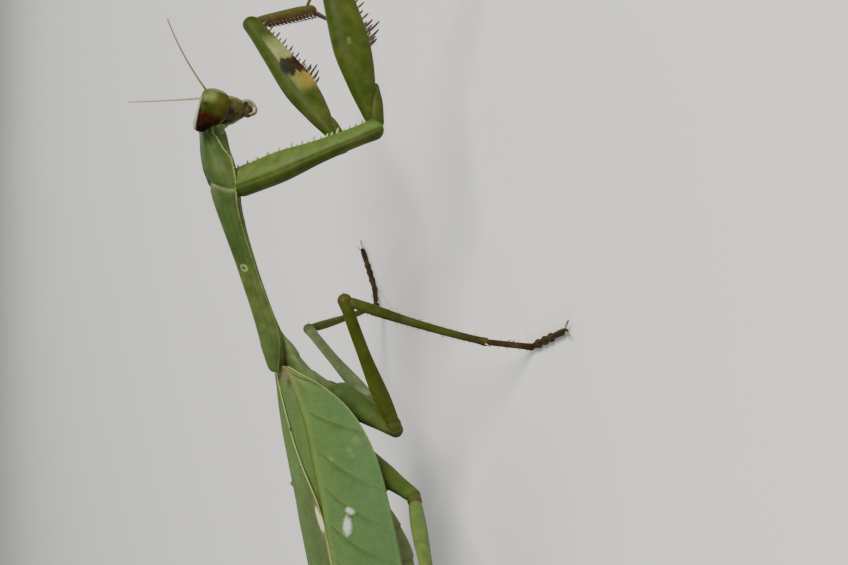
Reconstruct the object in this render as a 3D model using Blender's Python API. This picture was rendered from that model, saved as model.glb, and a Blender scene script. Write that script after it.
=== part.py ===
# Praying mantis, a large green adult female, life size.
# Metres, +Z up. The animal faces -Y and its left side is +X. The floor is at z = 0, and the
# origin lies on it under the middle of the whole animal, feelers and feet included.
# Lengths below are in millimetres and are turned to metres once, where a mesh is made.

import bmesh
import bpy
from math import cos, exp, pi, radians, sin
from mathutils import Matrix, Vector

MM = 0.001
GAP = 0.3                     # clearance between neighbouring pieces

# Stance
BODY_PLACE = (-0.1, 9.7)      # middle of the wing-bearing thorax, seen from above
BODY_HEIGHT = 23.5            # the same point above the floor
BODY_LEAN = 3.0               # degrees, towards the animal's right
FOOT_THICK = 1.1              # depth of a tarsus where it lies on the floor

# Head, in its own frame: X left, Y back, Z up to the vertex. Each pair is a height and an amount.
HEAD_CENTRE = (-0.35, -34.75, 11.35)
HEAD_ROLL = 20.0
HEAD_NOD = 15.7
HEAD_TOP = 2.4
HEAD_LOW = -2.45
HEAD_CAP = 0.2                # height of the low crown over the top level
HEAD_WIDTHS = ((-2.45, 1.15), (-1.5, 1.6), (-0.8, 2.05), (0.2, 2.35), (1.7, 2.35), (2.4, 2.0))
HEAD_FRONTS = ((-2.45, -2.35), (-0.7, -2.4), (0.8, -2.35), (1.7, -2.0), (2.4, -1.5))
HEAD_BACKS = ((-2.45, 0.0), (-1.6, 0.75), (-0.55, 1.3), (0.8, 1.9), (1.7, 1.9), (2.4, 1.6))
EYE_SIZE = (1.65, 2.7, 1.75)  # half sizes
EYE_CENTRE = (2.75, 0.2, 0.85)
JAW_LEVELS = ((-3.0, 1.0, -1.85, -0.1), (-3.45, 0.9, -1.75, -0.3), (-3.95, 0.55, -1.5, -0.7))
PALP_CURL = ((-1.2, -3.2), (-1.95, -3.1), (-2.4, -3.35), (-2.3, -3.85), (-1.75, -4.15), (-1.2, -3.95))
PALP_RADII = (0.3, 0.3, 0.3, 0.28, 0.26, 0.25)
NECK_START = (0, 0.4, 0.2)    # in the head's frame
NECK_END = (0, -30.9, 11.7)   # along the body
NECK_RADIUS = (1.45, 1.2)
ANTENNA_LENGTH = 18.0
ANTENNA_ROOT = (0.75, -2.55, 1.87)
ANTENNA_RADIUS = 0.26
SCAPE_RADIUS = 0.36           # the thicker root joint
ANTENNAE = {                  # side, and the headings that each one leaves on and ends on
    "antenna_right": (-1, (-60, 36), (-74, 21)),
    "antenna_left": (1, (88, 33), (84, 17.5)),
}

# Forebody and hindbody. Each pair is a place along the body and an amount.
PRONOTUM_FRONT = -32.2
PRONOTUM_REAR = -3.6
PRONOTUM_WIDTHS = (
    (-32.2, 1.75), (-30.5, 2.1), (-26.8, 3.15), (-22.5, 2.25), (-16, 1.85), (-9, 1.95), (-6, 1.98),
    (-3.6, 0.95),
)
PRONOTUM_TOPS = (
    (-32.2, 13.8), (-30.5, 13.9), (-28, 13.5), (-26.7, 12.9), (-24, 12.1), (-15, 8.75), (-7, 6.15),
    (-3.6, 5.35),
)
PRONOTUM_MARGINS = ((-32.2, 12.7), (-29, 10.85), (-27, 10.5), (-24, 10.1), (-15, 7.2), (-7, 4.42), (-3.6, 4.1))
PRONOTUM_BOTTOMS = (
    (-32.2, 10.6), (-29, 9.8), (-26, 9.0), (-21.7, 8.35), (-16, 6.7), (-10, 4.55), (-6, 2.8), (-3.6, 2.8),
)
THORAX_FRONT = -6.3
THORAX_REAR = 9.2
THORAX_WIDTHS = ((-6.3, 1.4), (-3.2, 2.4), (0, 3.3), (4, 3.8), (9.2, 3.7))
THORAX_TOPS = ((-6.3, 2.3), (-3.0, 2.3), (-2.2, 2.4), (0, 2.0), (9.2, 0.04))
THORAX_BOTTOMS = ((-6.3, 1.8), (-4.2, 0.7), (-2, -1.75), (0, -4.3), (5, -6.6), (9.2, -7.4))
ABDOMEN_REAR = 45.0
ABDOMEN_SEGMENTS = 8
ABDOMEN_WIDTHS = ((0, 3.6), (0.35, 4.5), (0.6, 4.3), (0.85, 3.1), (1, 1.3))
ABDOMEN_DEPTHS = ((0, 7.6), (0.38, 12.4), (0.6, 11.6), (0.85, 7.0), (1, 2.4))
FURROW = 0.22
CERCUS_LENGTH = 4.6
CERCUS_RADII = (0.34, 0.45, 0.5, 0.48, 0.42, 0.25)
WING_FRONT = -3.3
WING_REAR = 46.5
WING_THICK = 0.5
WING_OVERLAP = ((-3.3, -1.7), (15, 3.5), (26, 3.6), (46.5, 0.25))
COSTAL_REACH = 12.0           # from the folded wings' ridge round the side to the lowest margin
WING_RIDGE = 2.75             # height of the folded wings' ridge over the thorax centre at y = 0
WING_SLOPE = 0.213            # fall of that ridge for each mm towards the rear
WING_TURN = ((1.0, 4.0), (7.2, 74.0))    # reach, and how steeply the wing slopes down there
WING_FLARE = ((-3.3, 0.82), (9, 1.0), (30, 1.0), (46, 0.7))

# Limb segments. A profile gives place, half width and half depth.
FORE_COXA = 17.8
FORE_TROCHANTER = 3.8
FORE_FEMUR = 19.5
FORE_TIBIA = 13.0
FORE_TARSUS = 11.0
FORE_COXA_PROFILE = ((0, 1.5, 1.85), (0.25, 1.5, 2.0), (0.6, 1.2, 1.45), (0.86, 1.1, 1.25), (1, 1.2, 1.3))
TROCHANTER_PROFILE = ((0, 1.05, 1.05), (1, 1.05, 1.2))
FORE_FEMUR_PROFILE = (
    (0, 1.0, 1.15), (0.12, 1.2, 1.85), (0.35, 1.45, 2.55), (0.7, 1.2, 1.85), (0.93, 1.15, 1.5), (1, 1.05, 1.3),
)
FORE_TIBIA_PROFILE = ((0, 0.7, 0.8), (0.2, 0.75, 1.0), (0.75, 0.85, 1.05), (1, 0.7, 0.85))
FORE_TARSUS_RADII = (0.42, 0.36, 0.34, 0.38, 0.34, 0.38, 0.34, 0.4, 0.34)
FORE_HIP = (2.2, -26.3, 9.2)
FORELEGS = {                  # body side, then headings of coxa, trochanter, femur, tibia and tarsus
    "foreleg_right": (-1, (-57, -49), (13.7, -6.3), (8, 17), (-12, -68), (-20, -35)),
    "foreleg_left": (1, (33, -64), (35, 14), (34, 24), (53.4, -57), (35, -30)),
}
MID_LENGTHS = (8.2, 19.3, 17.9)          # coxa, femur and tibia
HIND_LENGTHS = (9.2, 22.0, 21.5)
MID_HIP = (2.4, 0.8, -4.0)
HIND_HIP = (2.6, 8.4, -6.0)
COXA_PROFILE = ((0, 1.7, 1.9), (0.45, 1.45, 1.65), (0.85, 1.05, 1.15), (1, 1.05, 1.05))
FEMUR_PROFILE = ((0, 0.85, 0.95), (0.2, 0.95, 1.15), (0.6, 0.72, 0.85), (0.92, 0.72, 0.82), (1, 0.8, 0.9))
TIBIA_PROFILE = ((0, 0.6, 0.62), (0.12, 0.66, 0.72), (0.5, 0.52, 0.56), (1, 0.5, 0.54))
BASITARSUS_PROFILE = ((0, 0.4, 0.42), (1, 0.46, 0.5))
WALKING_LEGS = {              # body side, then headings of coxa, femur, tibia, first foot joint and foot
    "midleg_right": (-1, (-138, -46.5), (-14.8, 26.4), (-130, -63.7), (-110, -66), (-74, 0)),
    "midleg_left": (1, (141, -69), (57.5, 13.0), (72, -54.5), (55, -15), (40, 0)),
    "hindleg_right": (-1, (-158, -50), (-125, 11), (-140, -38), (-135, -25), (-130, 0)),
    "hindleg_left": (1, (160, -52), (122, 12), (142, -38), (135, -25), (132, 0)),
}
BASITARSUS = 4.8
TARSUS = 9.0
SOLE_PLACES = (-0.45, 0.0, 1.6, 1.9, 3.2, 3.5, 4.7, 5.0, 6.2, 7.9, 9.0)
LOBE_WIDE = 0.62              # half widths of the foot's lobes, and of the waists between them
WAIST_WIDE = 0.5


def clear_scene():
    for item in list(bpy.data.objects):
        bpy.data.objects.remove(item, do_unlink=True)


def collection(name):
    made = bpy.data.collections.new(name)
    bpy.context.scene.collection.children.link(made)
    return made


def material(name, colour, roughness, metallic=0.0):
    made = bpy.data.materials.new(name)
    made.use_nodes = True
    shader = made.node_tree.nodes["Principled BSDF"]
    shader.inputs["Base Color"].default_value = (*colour, 1.0)
    shader.inputs["Roughness"].default_value = roughness
    shader.inputs["Metallic"].default_value = metallic
    return made


def mesh_object(name, mesh_data, skin, home):
    mesh = bpy.data.meshes.new(name)
    bmesh.ops.recalc_face_normals(mesh_data, faces=mesh_data.faces)
    mesh_data.to_mesh(mesh)
    mesh_data.free()
    mesh.shade_smooth()
    item = bpy.data.objects.new(name, mesh)
    if skin:
        item.data.materials.append(skin)
    home.objects.link(item)
    return item


def loft(name, rings, tips, skin, home):
    """A closed body through rings of equal counts, each end drawn in to a tip point."""
    shape = bmesh.new()
    rows = [[shape.verts.new(point * MM) for point in ring] for ring in rings]
    ends = [shape.verts.new(tip * MM) for tip in tips]
    count = len(rings[0])
    for near, far in zip(rows, rows[1:]):
        for i in range(count):
            j = (i + 1) % count
            shape.faces.new((near[i], near[j], far[j], far[i]))
    for row, end in ((rows[0], ends[0]), (rows[-1], ends[1])):
        for i in range(count):
            shape.faces.new((row[i], row[(i + 1) % count], end))
    return mesh_object(name, shape, skin, home)


def cut(item, *cutters):
    """Takes each cutter away from the item."""
    for cutter in cutters:
        step = item.modifiers.new("clear of " + cutter.name, "BOOLEAN")
        step.operation = "DIFFERENCE"
        step.object = cutter


def join(item, *others):
    for other in others:
        step = item.modifiers.new("with " + other.name, "BOOLEAN")
        step.operation = "UNION"
        step.object = other


def heading(azimuth, elevation):
    """A direction: azimuth from straight ahead towards the left, elevation up from level."""
    a, e = radians(azimuth), radians(elevation)
    return Vector((sin(a) * cos(e), -cos(a) * cos(e), sin(e)))


def blend(value, *stops):
    """The value on a smooth line through (place, amount) stops, which never overshoots them."""
    if value <= stops[0][0]:
        return stops[0][1]
    rises = [(high - low) / (b - a) for (a, low), (b, high) in zip(stops, stops[1:])]
    slopes = [
        2 * before * after / (before + after) if before * after > 0 else 0.0
        for before, after in zip(rises, rises[1:])
    ]
    slopes = [0.0, *slopes, 0.0]
    for k, ((a, low), (b, high)) in enumerate(zip(stops, stops[1:])):
        if value <= b:
            t = (value - a) / (b - a)
            lean = (b - a) * t * (1 - t) * (slopes[k] * (1 - t) - slopes[k + 1] * t)
            return low + (high - low) * t * t * (3 - 2 * t) + lean
    return stops[-1][1]


BODY_FRAME = (
    Matrix.Translation((*BODY_PLACE, BODY_HEIGHT))
    @ Matrix.Rotation(radians(-BODY_LEAN), 4, "Y")
)
HEAD_FRAME = (
    Matrix.Translation(BODY_FRAME @ Vector(HEAD_CENTRE))
    @ Matrix.Rotation(radians(HEAD_ROLL), 4, "Y")
    @ Matrix.Rotation(radians(HEAD_NOD), 4, "X")
)


def in_body(x, y, z):
    return BODY_FRAME @ Vector((x, y, z))


def in_head(x, y, z):
    return HEAD_FRAME @ Vector((x, y, z))


def squarish(value, power=0.8):
    """A sine or cosine pushed towards a rounded square."""
    return abs(value) ** power * (1 if value >= 0 else -1)


def head_ring(z, half_width, front, back, grow, count=16):
    """One level of the head, between its front and back, as a rounded box."""
    middle, half_depth = (front + back) / 2, (back - front) / 2 + grow
    turns = [2 * pi * i / count for i in range(count)]
    return [
        in_head(squarish(cos(a)) * (half_width + grow), middle + squarish(sin(a)) * half_depth, z)
        for a in turns
    ]


def head_shape(name, grow, skin, home):
    rings, levels = [], 9
    for i in range(levels):
        z = HEAD_TOP + (HEAD_LOW - HEAD_TOP) * i / (levels - 1)
        wide, front, back = (blend(z, *stops) for stops in (HEAD_WIDTHS, HEAD_FRONTS, HEAD_BACKS))
        rings.append(head_ring(z, wide, front, back, grow))
    tips = (in_head(0, 0, HEAD_TOP + HEAD_CAP + grow), in_head(0, -1.0, HEAD_LOW - 0.15 - grow))
    return loft(name, rings, tips, skin, home)


def eye_shape(name, side, grow, skin, home):
    """An eye as a plump egg, widest towards the vertex."""
    rings, count = [], 14
    centre = Vector((side * EYE_CENTRE[0], EYE_CENTRE[1], EYE_CENTRE[2]))
    for i in range(1, 9):
        a = pi * i / 9
        ring = []
        for k in range(count):
            b = 2 * pi * k / count
            x, y, z = sin(a) * cos(b), sin(a) * sin(b), cos(a)
            boxy = 1.0 / (abs(y) ** 2.6 + abs(z) ** 2.6 + abs(x) ** 2.6) ** (1 / 2.6)
            swell = 1.0 + 0.1 * z
            point = Vector((
                x * (EYE_SIZE[0] + grow) * boxy,
                y * (EYE_SIZE[1] + grow) * boxy * swell,
                z * (EYE_SIZE[2] + grow) * boxy,
            ))
            ring.append(in_head(*(centre + point)))
        rings.append(ring)
    reach = Vector((0, 0, EYE_SIZE[2] + grow))
    return loft(name, rings, (in_head(*(centre + reach)), in_head(*(centre - reach))), skin, home)


def tube(name, points, radii, skin, home, resolution=2):
    """A round tapering tube along a smooth path, as a mesh."""
    path = bpy.data.curves.new(name, "CURVE")
    path.dimensions = "3D"
    path.bevel_depth = MM
    path.bevel_resolution = resolution
    path.use_fill_caps = True
    line = path.splines.new("POLY")
    line.points.add(len(points) - 1)
    for place, point, radius in zip(line.points, points, radii):
        place.co = (*(point * MM), 1.0)
        place.radius = radius
    guide = bpy.data.objects.new(name + "_path", path)
    bpy.context.scene.collection.objects.link(guide)
    bpy.context.view_layer.update()
    mesh = bpy.data.meshes.new_from_object(guide.evaluated_get(bpy.context.evaluated_depsgraph_get()))
    bpy.data.objects.remove(guide, do_unlink=True)
    shape = bmesh.new()
    shape.from_mesh(mesh)
    bpy.data.meshes.remove(mesh)
    bmesh.ops.remove_doubles(shape, verts=shape.verts, dist=0.00001)
    return mesh_object(name, shape, skin, home)


def arc_path(start, lean, end, count):
    """Points from start to end, drawn towards a third point on the way."""
    return [
        start * (1 - t) ** 2 + lean * 2 * t * (1 - t) + end * t ** 2
        for t in (i / (count - 1) for i in range(count))
    ]


def antenna(name, side, first_way, last_way, skin, home):
    root = in_head(side * ANTENNA_ROOT[0], ANTENNA_ROOT[1], ANTENNA_ROOT[2])
    lean = root + first_way * ANTENNA_LENGTH * 0.45
    points = arc_path(root, lean, lean + last_way * ANTENNA_LENGTH * 0.55, 12)
    radii = [SCAPE_RADIUS if i < 2 else ANTENNA_RADIUS for i in range(12)]
    return tube(name, points, radii, skin, home)


def mouthparts(skin, home, helpers):
    """Upper lip and jaws below the face, with a pair of feelers curled beside them."""
    rings = [head_ring(z, wide, front, back, 0, 12) for z, wide, front, back in JAW_LEVELS]
    jaw = loft("mouthparts", rings, (in_head(0, -1.0, -2.9), in_head(0, -1.0, -4.1)), skin, home)
    for side in (-1, 1):
        bend = [in_head(side * (0.75 + 0.35 * (i > 0)), y, z) for i, (y, z) in enumerate(PALP_CURL)]
        palp = tube(f"palp_{side}", bend, PALP_RADII, None, helpers)
        join(jaw, palp)
    return jaw


def body_ring(y, half_width, margin, top, bottom, grow, count=14):
    """One slice of the body: a dome from margin to top, and a rounder keel down to bottom."""
    ring = []
    for i in range(count):
        a = 2 * pi * i / count
        x = cos(a) * (half_width + grow)
        if sin(a) >= 0:
            z = margin + (top - margin + grow) * sin(a)
        else:
            x *= 1 - 0.25 * -sin(a)
            z = margin - (margin - bottom + grow) * -sin(a)
        ring.append(in_body(x, y, z))
    return ring


def pronotum_shape(name, grow, skin, home):
    """The long shield of the first thorax segment, with its belly, as one piece."""
    rings, steps = [], 20
    front, rear = PRONOTUM_FRONT - grow, PRONOTUM_REAR + grow
    outline = (PRONOTUM_WIDTHS, PRONOTUM_MARGINS, PRONOTUM_TOPS, PRONOTUM_BOTTOMS)
    for i in range(steps):
        y = front + (rear - front) * i / (steps - 1)
        rings.append(body_ring(y, *(blend(y, *stops) for stops in outline), grow))
    tips = (in_body(0, front - 0.2, 12.4), in_body(0, rear + 0.2, 4.1))
    return loft(name, rings, tips, skin, home)


def neck_piece(skin, home, *cutters):
    rings = []
    start, end = in_head(*NECK_START), in_body(*NECK_END)
    across = Vector((1, 0, 0)) * NECK_RADIUS[0]
    rise = Vector((0, 0.15, 1)).normalized() * NECK_RADIUS[1]
    for i in range(7):
        centre = start.lerp(end, i / 6)
        rings.append([
            centre + across * cos(2 * pi * k / 14) + rise * sin(2 * pi * k / 14)
            for k in range(14)
        ])
    neck = loft("neck", rings, (start, end), skin, home)
    cut(neck, *cutters)
    return neck


def ridge(y):
    """Height of the top of the folded wings at y."""
    return WING_RIDGE - WING_SLOPE * y


def thorax_shape(name, grow, skin, home):
    """The two wing-bearing segments."""
    rings, steps = [], 10
    front, rear = THORAX_FRONT - grow, THORAX_REAR + grow
    for i in range(steps):
        y = front + (rear - front) * i / (steps - 1)
        half_width, top, bottom = (blend(y, *stops) for stops in (THORAX_WIDTHS, THORAX_TOPS, THORAX_BOTTOMS))
        rings.append(body_ring(y, half_width, top - 0.4 * (top - bottom), top, bottom, grow))
    tips = (in_body(0, front - 0.15, 2.1), in_body(0, rear + 0.15, -3.2))
    return loft(name, rings, tips, skin, home)


def abdomen_shape(name, grow, skin, home):
    """Plump abdomen with a shallow furrow between its segments, tapering to the tip."""
    rings, steps = [], 17
    front = THORAX_REAR + GAP + 0.35 - grow
    for i in range(steps):
        t = i / (steps - 1)
        y = front + (ABDOMEN_REAR - front) * t
        furrow = FURROW * (abs(sin(pi * ABDOMEN_SEGMENTS * t)) ** 0.5 - 1)
        half_width = blend(t, *ABDOMEN_WIDTHS) + furrow
        depth = blend(t, *ABDOMEN_DEPTHS) + 2 * furrow
        top = ridge(y) - 0.85
        rings.append(body_ring(y, half_width, top - depth * 0.45, top, top - depth, grow))
    middle = ridge(front) - 4.9
    tips = (in_body(0, front - 0.12, middle), in_body(0, ABDOMEN_REAR + 0.5, ridge(ABDOMEN_REAR) - 2.4))
    return loft(name, rings, tips, skin, home)


def wing_point(side, y, reach, lift):
    """A point on the folded wing, reach mm from the ridge line round to the side and down."""
    x = z = 0.0
    steps = 24
    for i in range(steps):
        place = abs(reach) * (i + 0.5) / steps
        turn = radians(blend(place, *WING_TURN))
        x += cos(turn) * abs(reach) / steps
        z -= sin(turn) * abs(reach) / steps
    turn = radians(blend(abs(reach), *WING_TURN))
    x += sin(turn) * lift
    z += cos(turn) * lift
    flare = x * blend(y, *WING_FLARE)
    return Vector((side * flare * (1 if reach >= 0 else -1), y, ridge(y) + z))


def outer_reach(y):
    """Distance from the ridge line to the front (costal) margin of a wing, which hangs lowest."""
    end = (y - WING_FRONT) / (WING_REAR - WING_FRONT)
    grown = COSTAL_REACH * (1 - exp(-(y - WING_FRONT + 1.0) / 4.3))
    return grown * (1 - max(0.0, (end - 0.42) / 0.58) ** 2.6) ** 0.8 + 0.35


def wing_piece(name, side, lift, skin, home):
    rings, steps, across = [], 16, 9
    half = WING_THICK / 2
    for i in range(steps):
        t = i / (steps - 1)
        y = WING_FRONT + (WING_REAR - WING_FRONT) * (t if t < 0.9 else 0.9 + (t - 0.9) * (1.9 - t))
        # the hind margin crosses the ridge line, except near the root, where it stays short of it
        outer, inner = outer_reach(y), -blend(y, *WING_OVERLAP)
        places = [inner + (outer - inner) * k / (across - 1) for k in range(across)]
        upper = [BODY_FRAME @ wing_point(side, y, p, lift + half) for p in places]
        lower = [BODY_FRAME @ wing_point(side, y, p, lift - half) for p in reversed(places)]
        rings.append(upper + lower)
    tips = [sum(ring, Vector()) / len(ring) for ring in (rings[0], rings[-1])]
    tips[0] = tips[0] + Vector((0, -0.3, 0))
    tips[1] = tips[1] + Vector((0, 0.5, 0))
    return loft(name, rings, tips, skin, home)


def limb_shape(name, start, end, side_way, profile, skin, home, bow=0.0, count=8, steps=7, grow=0.0):
    """A limb segment: elliptic slices along a slightly bowed line, with rounded ends.

    profile gives (place, half_width, half_depth) stops; side_way is the direction of its width."""
    run = end - start
    along = run.normalized()
    depth_way = side_way.cross(along).normalized()
    width_way = along.cross(depth_way).normalized()
    widths = [(p, w) for p, w, d in profile]
    depths = [(p, d) for p, w, d in profile]

    def ring(t, scale, shift):
        centre = start + run * t + depth_way * bow * 4 * t * (1 - t) + along * shift
        return [
            centre
            + width_way * cos(2 * pi * k / count) * (blend(t, *widths) + grow) * scale
            + depth_way * sin(2 * pi * k / count) * (blend(t, *depths) + grow) * scale
            for k in range(count)
        ]

    def cap(t):
        return (blend(t, *widths) + blend(t, *depths)) / 2 + grow

    rings = [ring(0, 0.7, -0.7 * cap(0))]
    rings += [ring(i / (steps - 1), 1.0, 0) for i in range(steps)]
    rings += [ring(1, 0.7, 0.7 * cap(1))]
    tips = (start - along * cap(0), end + along * cap(1))
    return loft(name, rings, tips, skin, home)


def segment(name, start, end, side_way, profile, skin, home, helpers, clear, **more):
    """A limb segment cut clear of its neighbours, and the clearance that its own neighbours need."""
    made = limb_shape(name, start, end, side_way, profile, skin, home, **more)
    cut(made, *clear)
    return made, limb_shape(f"{name}_clearance", start, end, side_way, profile, None, helpers, grow=GAP, **more)


def spines(name, places, home):
    """Sharp cones as one helper mesh: places gives (root, direction, length, radius)."""
    shape = bmesh.new()
    for root, way, length, radius in places:
        turn = way.to_track_quat("Z", "Y").to_matrix().to_4x4()
        middle = Matrix.Translation((root + way * length / 2) * MM)
        bmesh.ops.create_cone(
            shape, cap_ends=True, segments=3, radius1=radius * MM, radius2=0,
            depth=length * MM, matrix=middle @ turn,
        )
    return mesh_object(name, shape, None, home)


def fore_leg(name, side, base, coxa_way, trochanter_way, femur_way, tibia_way, tarsus_way,
             skins, home, helpers, clear):
    """The raptorial leg. The plane of femur and tibia holds the spines."""
    coxa_end = base + coxa_way * FORE_COXA
    femur_start = coxa_end + trochanter_way * FORE_TROCHANTER
    knee = femur_start + femur_way * FORE_FEMUR
    tibia_end = knee + tibia_way * FORE_TIBIA

    # Coxa: three-sided rod with small teeth along its front edge
    coxa_side = trochanter_way.cross(coxa_way).normalized()
    coxa, coxa_clear = segment(
        f"{name}_coxa", base, coxa_end, coxa_side, FORE_COXA_PROFILE, skins["leg"], home, helpers, clear,
        count=10, steps=8,
    )
    front_way = coxa_side.cross(coxa_way).normalized()
    if front_way.dot(trochanter_way) < 0:
        front_way = -front_way
    teeth = []
    for i in range(11):
        t = 0.2 + 0.72 * i / 10
        depth = blend(t, *((place, deep) for place, wide, deep in FORE_COXA_PROFILE))
        teeth.append((
            base + coxa_way * FORE_COXA * t + front_way * (depth - 0.35),
            (front_way + coxa_way * 0.15).normalized(), 0.95 if i % 3 else 1.15, 0.3,
        ))
    join(coxa, spines(f"{name}_coxa_teeth", teeth, helpers))

    # Trochanter and femur in one, deepest in the first third
    spine_way = (tibia_way + femur_way * -tibia_way.dot(femur_way)).normalized()
    femur_side = femur_way.cross(spine_way).normalized()
    trochanter = limb_shape(
        f"{name}_trochanter", coxa_end + trochanter_way * 1.2, femur_start + femur_way * 1.0,
        femur_side, TROCHANTER_PROFILE, None, helpers, count=8, steps=3,
    )
    femur, femur_clear = segment(
        f"{name}_femur", femur_start, knee, femur_side, FORE_FEMUR_PROFILE, skins["leg"], home, helpers, (),
        bow=0.35, count=10, steps=9,
    )
    join(femur, trochanter)
    cut(femur, coxa_clear)
    thick = [(place, deep) for place, wide, deep in FORE_FEMUR_PROFILE]
    points = []
    for row, (count, length, first, last) in enumerate(((11, 1.1, 0.42, 0.93), (4, 2.1, 0.4, 0.86))):
        across = femur_side * side * (0.75 if row == 0 else -0.75)
        for i in range(count):
            t = first + (last - first) * i / (count - 1)
            depth = blend(t, *thick) * 0.78
            long_one = row == 0 and i % 2 == 0
            points.append((
                femur_start + femur_way * FORE_FEMUR * t + spine_way * (depth - 0.35) + across,
                (spine_way + femur_way * 0.2 + across * 0.15).normalized(),
                length + (0.75 if long_one else 0) + 0.35, 0.34,
            ))
    for i, length in enumerate((1.9, 2.9, 3.6, 2.2)):
        t = 0.24 + 0.045 * i
        across = femur_side * side * (0.1 - 0.12 * i)
        points.append((
            femur_start + femur_way * FORE_FEMUR * t + spine_way * (blend(t, *thick) - 0.5) + across,
            (spine_way + femur_way * 0.3).normalized(), length, 0.36,
        ))
    join(femur, spines(f"{name}_femur_spines", points, helpers))

    # Tibia with its two rows of spines and the long claw at the end
    back_way = (-femur_way + tibia_way * femur_way.dot(tibia_way)).normalized()
    tibia, tibia_clear = segment(
        f"{name}_tibia", knee + tibia_way * 1.3, tibia_end, femur_side, FORE_TIBIA_PROFILE, skins["leg"], home,
        helpers, (femur_clear,), count=8, steps=6,
    )
    points = []
    for row in (-1, 1):
        for i in range(9):
            t = 0.24 + 0.085 * i
            points.append((
                knee + tibia_way * FORE_TIBIA * t + back_way * 0.45 + femur_side * row * 0.42,
                (back_way + tibia_way * 0.25 + femur_side * row * 0.25).normalized(),
                1.25 + 1.0 * t, 0.26,
            ))
    points.append((
        tibia_end + back_way * 0.1, (tibia_way * 0.75 + back_way).normalized(), 3.6, 0.6,
    ))
    join(tibia, spines(f"{name}_tibia_spines", points, helpers))

    # Thin walking foot, held beside the claw
    start = tibia_end - back_way * 0.7 - tibia_way * 0.5
    ends = start + tarsus_way * FORE_TARSUS
    bend = arc_path(start, start.lerp(ends, 0.5) - back_way * 0.9, ends, 9)
    foot = tube(f"{name}_tarsus", bend, FORE_TARSUS_RADII, skins["tarsus"], home)
    cut(foot, tibia_clear)


def walking_leg(name, hip, lengths, coxa_way, femur_way, tibia_way, basitarsus_way, tarsus_way,
                skins, home, helpers, clear):
    """A mid or hind leg down to a foot that lies flat on the floor."""
    coxa_end = hip + coxa_way * lengths[0]
    knee = coxa_end + femur_way * lengths[1]
    ankle = knee + tibia_way * lengths[2]
    ball = ankle + basitarsus_way * BASITARSUS
    ball.z = FOOT_THICK / 2
    level = Vector((tarsus_way.x, tarsus_way.y, 0)).normalized()
    toe = ball + level * TARSUS
    side_way = femur_way.cross(tibia_way).normalized()

    coxa, coxa_clear = segment(
        f"{name}_coxa", hip, coxa_end, side_way, COXA_PROFILE, skins["leg"], home, helpers, clear, steps=6,
    )
    femur, femur_clear = segment(
        f"{name}_femur", coxa_end + femur_way * 1.1, knee, side_way, FEMUR_PROFILE, skins["leg"], home, helpers,
        (coxa_clear,), bow=-0.25,
    )
    tibia, tibia_clear = segment(
        f"{name}_tibia", knee + tibia_way * 1.1, ankle, side_way, TIBIA_PROFILE, skins["leg"], home, helpers,
        (femur_clear,), bow=0.3,
    )

    # Foot: a first joint slanting down, then four lobes lying level, with two small claws
    foot = limb_shape(
        f"{name}_tarsus", ankle + basitarsus_way * 0.8, ball, side_way, BASITARSUS_PROFILE,
        skins["tarsus"], home, count=6, steps=4,
    )
    across = Vector((-level.y, level.x, 0))
    lobes = []
    for i, place in enumerate(SOLE_PLACES):
        wide = WAIST_WIDE if i % 2 else LOBE_WIDE
        deep = FOOT_THICK * (0.9 if i % 2 else 1.0)
        if i in (0, len(SOLE_PLACES) - 1):
            wide, deep = 0.3, FOOT_THICK * 0.55
        middle = Vector((ball.x, ball.y, 0)) + level * place
        up = Vector((0, 0, deep))
        lobes.append([
            middle + across * wide * 0.8, middle + across * wide + up * 0.5,
            middle + across * wide * 0.6 + up, middle - across * wide * 0.6 + up,
            middle - across * wide + up * 0.5, middle - across * wide * 0.8,
        ])
    tips = (
        Vector((ball.x, ball.y, FOOT_THICK * 0.25)) - level * 0.6,
        Vector((toe.x, toe.y, FOOT_THICK * 0.25)) + level * 0.15,
    )
    join(foot, loft(f"{name}_sole", lobes, tips, None, helpers))
    claws = [
        (
            Vector((toe.x, toe.y, FOOT_THICK * 0.4)) - level * 0.35 + across * s * 0.3,
            (level + across * s * 0.45).normalized(), 1.3, 0.2,
        )
        for s in (-1, 1)
    ]
    join(foot, spines(f"{name}_claws", claws, helpers))
    cut(foot, tibia_clear)


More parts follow.
